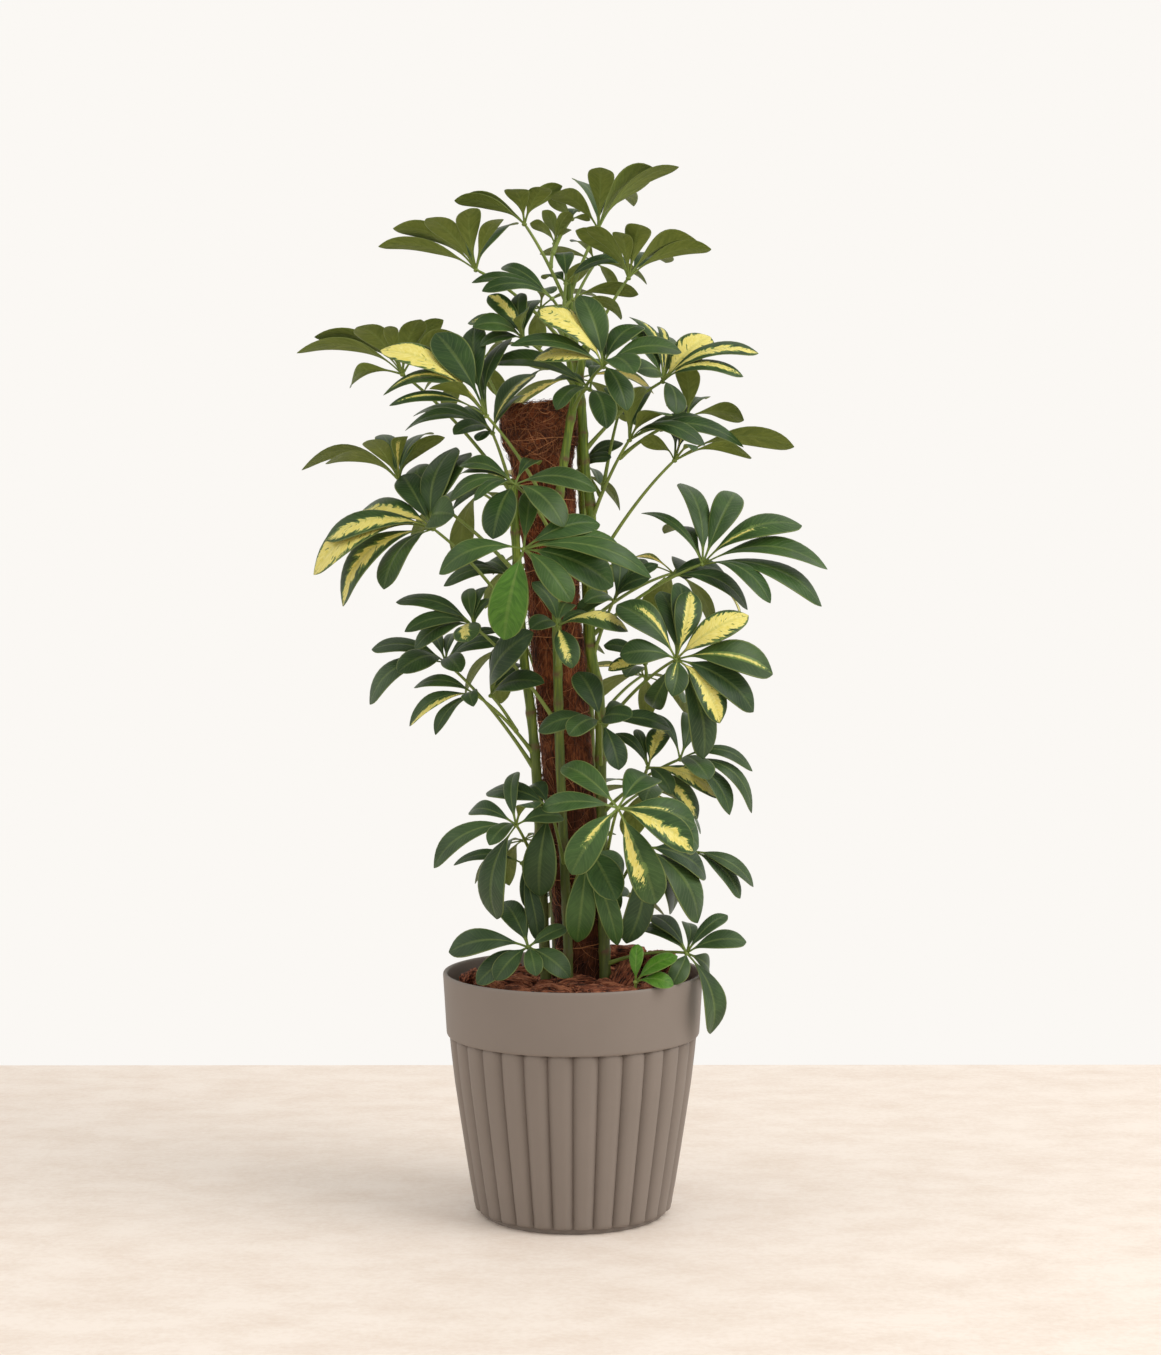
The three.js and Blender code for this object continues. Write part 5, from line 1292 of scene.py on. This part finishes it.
def make_wrap(finish):
    """The matted wrap, turned about the pole, with a rough skin and a folded cap."""
    bm = bmesh.new()
    heights = [POLE_LENGTH * i / 260 for i in range(261)]
    section = [(0, 0)] + [(wrap_radius(height), height) for height in heights]
    section += [(radius, POLE_LENGTH + rise) for radius, rise in ((29, 0.5), (22, -1), (12, -3), (0, -3))]
    turn_about_z(bm, [bm.verts.new((radius, 0, height)) for radius, height in section], 96)
    for vertex in bm.verts:
        radius = vertex.co.to_2d().length
        turn = math.atan2(vertex.co.y, vertex.co.x)
        height = vertex.co.z
        if radius > 15 and height > 1:
            radius += matting(height, turn)
            if height > POLE_LENGTH - 50:  # the cap is lumpier
                radius += 1.2 * noise.noise(Vector((*around(2, turn), height * 0.08)))
        if height > POLE_LENGTH - 8:
            height += 1.6 * noise.noise(Vector((vertex.co.x, vertex.co.y, 3)) * 0.12)
        vertex.co = on_pole(height, turn, radius)
    bmesh.ops.recalc_face_normals(bm, faces=bm.faces)
    finish_piece("coir_wrap", bm, [finish], "coir", "coir_pole")


def add_hair(bm, points, thick, shade, sides=3, taper=0.6):
    """A hair or a thread through points, with a shade of its own."""
    hair = layer_of(bm, "hair")
    steps = len(points) - 1
    radii = [thick * (1 - taper * i / steps) for i in range(steps + 1)]
    for vertex, _ in add_tube(bm, points, radii, sides):
        vertex[hair] = Vector((shade, 0, 0))


def make_fibres(finish):
    """Hairs that lie on the wrap, curl out of it, and stand loose on top of the cap."""
    draw = random.Random(23)
    bm = bmesh.new()
    layer_of(bm, "hair")
    for number in range(HAIRS):
        on_cap = number % 5 < 2
        height = draw.uniform(CAP_FOOT, POLE_LENGTH - 2) if on_cap else draw.uniform(62, CAP_FOOT + 8)
        turn = draw.uniform(0, TURN)
        heading = draw.gauss(0.5, 0.9) if on_cap else draw.gauss(1.35, 0.5)
        heading *= draw.choice((-1, 1))
        length = draw.uniform(16, 46)
        curl = draw.uniform(-0.62, 0.62) if on_cap else draw.uniform(-0.35, 0.35)
        lift = draw.uniform(0.4, 2.2) if draw.random() < 0.88 else draw.uniform(2.5, 5)
        points = []
        for i in range(HAIR_STEPS + 1):
            radius = wrap_radius(height)
            skin = radius + matting(height, turn) + 0.1
            points.append(on_pole(height, turn, skin + lift * math.sin(math.pi * i / HAIR_STEPS)))
            heading += curl
            height += math.sin(heading) * length / HAIR_STEPS
            height = max(BARE_FOOT, min(POLE_LENGTH + 1, height))
            turn += math.cos(heading) * length / HAIR_STEPS / radius
        add_hair(bm, points, draw.uniform(0.2, 0.5), draw.random() ** 1.2)
    for _ in range(LOOSE_HAIRS):
        turn = draw.uniform(0, TURN)
        radius = draw.uniform(6, 33)
        height = POLE_LENGTH - 2
        out = draw.uniform(-0.9, 0.9)
        sweep = draw.uniform(-0.09, 0.09)
        rise = draw.uniform(0.4, 2.4)
        points = []
        for i in range(HAIR_STEPS + 1):
            points.append(on_pole(height, turn, radius))
            turn += sweep
            radius += out
            height += rise * (1 - i / 4.5)  # up, and over at the end
        add_hair(bm, points, draw.uniform(0.16, 0.34), draw.uniform(0.1, 0.7))
    finish_piece("loose_fibres", bm, [finish], "coir")


def make_thread(finish):
    """The thin thread that holds the wrap: rings and a few slants, drawn into the fibres."""
    draw = random.Random(5)
    bm = bmesh.new()
    layer_of(bm, "hair")
    for level, tilt, start in THREAD_RINGS:
        points = []
        for i in range(RING_STEPS + 1):
            turn = start + TURN * i / RING_STEPS
            height = level + tilt * math.cos(turn) + 0.8 * noise.noise(Vector((i * 0.2, level, 0)))
            points.append(on_pole(height, turn, wrap_radius(height) + 1.2))
        add_hair(bm, points, 0.5, 0.95, sides=5, taper=0)
    for level, rise in THREAD_SLANTS:
        start = draw.uniform(0, 6.28)
        points = []
        for i in range(SLANT_STEPS + 1):
            draw.choice((1, 1))  # moves the draws on to where the next slant starts
            height = level + rise * i / SLANT_STEPS
            turn = start + SLANT_TURN * i / SLANT_STEPS
            points.append(on_pole(height, turn, wrap_radius(height) + 1.3))
        add_hair(bm, points, 0.42, 0.9, sides=5, taper=0)
    finish_piece("binding_thread", bm, [finish], "coir")


# ---- the room, in metres ----

FLOOR_HALF = 4
FLOOR_BACK = 0.72
AIM = Vector((0, 0, 0.5))  # where the lamps point


def make_floor():
    """A pale floor that ends where the wall would stand."""
    bm = bmesh.new()
    bmesh.ops.create_grid(bm, x_segments=8, y_segments=8, size=1)
    for vertex in bm.verts:
        vertex.co.x *= FLOOR_HALF
        vertex.co.y = blend(-FLOOR_HALF, FLOOR_BACK, (vertex.co.y + 1) / 2)
    floor = stand("pale_floor", mesh_of("pale_floor", bm))
    floor.data.materials.append(floor_finish())


def make_lamp(name, place, size, power, colour):
    """A square lamp aimed at the middle of the plant."""
    light = bpy.data.lights.new(name, "AREA")
    light.size = size
    light.energy = power
    light.color = colour
    lamp = stand(name, light)
    lamp.location = place
    lamp.rotation_euler = (AIM - Vector(place)).to_track_quat("-Z", "Y").to_euler()


def make_world():
    """Soft white light all round, a wall a little brighter, and colours shown as they are."""
    world = bpy.data.worlds.new("white_studio")
    world.use_nodes = True
    tree = world.node_tree
    ground = tree.nodes["Background"]
    ground.inputs["Color"].default_value = tint(252, 249, 244)
    ground.inputs["Strength"].default_value = 0.84
    wall = signal(tree, "ShaderNodeBackground", {"Color": tint(251, 248, 244), "Strength": 1.0})
    inputs = {0: signal(tree, "ShaderNodeLightPath", {}, "Is Camera Ray"),
              1: Signal(tree, ground.outputs[0]), 2: wall}
    feed(tree, tree.nodes["World Output"].inputs[0], signal(tree, "ShaderNodeMixShader", inputs))
    scene = bpy.context.scene
    scene.world = world
    scene.view_settings.view_transform = "Standard"
    scene.view_settings.look = "None"


def make_camera():
    """The camera at the eye, turned to the plant and tilted a little down."""
    lens = bpy.data.cameras.new("camera")
    lens.sensor_width = SENSOR_MM
    lens.lens = FOCAL_PIXELS / PICTURE_HEIGHT * SENSOR_MM
    lens.clip_start = 0.05
    lens.clip_end = 60
    camera = stand("camera", lens)
    camera.location = EYE * MM
    yaw = math.atan((PICTURE_WIDTH / 2 - AXIS_PIXEL) / FOCAL_PIXELS)
    way = Vector((math.sin(yaw), math.cos(yaw), -math.tan(PITCH_DOWN)))
    camera.rotation_euler = way.to_track_quat("-Z", "Y").to_euler()
    bpy.context.scene.camera = camera


make_camera()
make_floor()
make_lamp("key_light", (2.5, -1.2, 2.75), 2.4, 72, (1, 0.985, 0.96))
make_lamp("fill_light", (-3.2, -1.0, 2.2), 2.6, 16, (1, 0.99, 0.98))
make_world()

dirt = soil_finish()
hairs = fibre_finish()
bark_green = stem_finish()
make_pot(pot_finish())
make_bed(dirt)
make_bark(bark_finish())
make_wrap(coir_finish())
make_fibres(hairs)
make_thread(hairs)
for stem_name in STEMS:
    make_stem(stem_name, bark_green)
make_leaves(leaf_finish(), stalk_finish())
for node, finish in (("potting_soil", dirt), ("pole_stake", stake_finish())):
    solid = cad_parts[node]
    solid.data.materials.clear()
    solid.data.materials.append(finish)
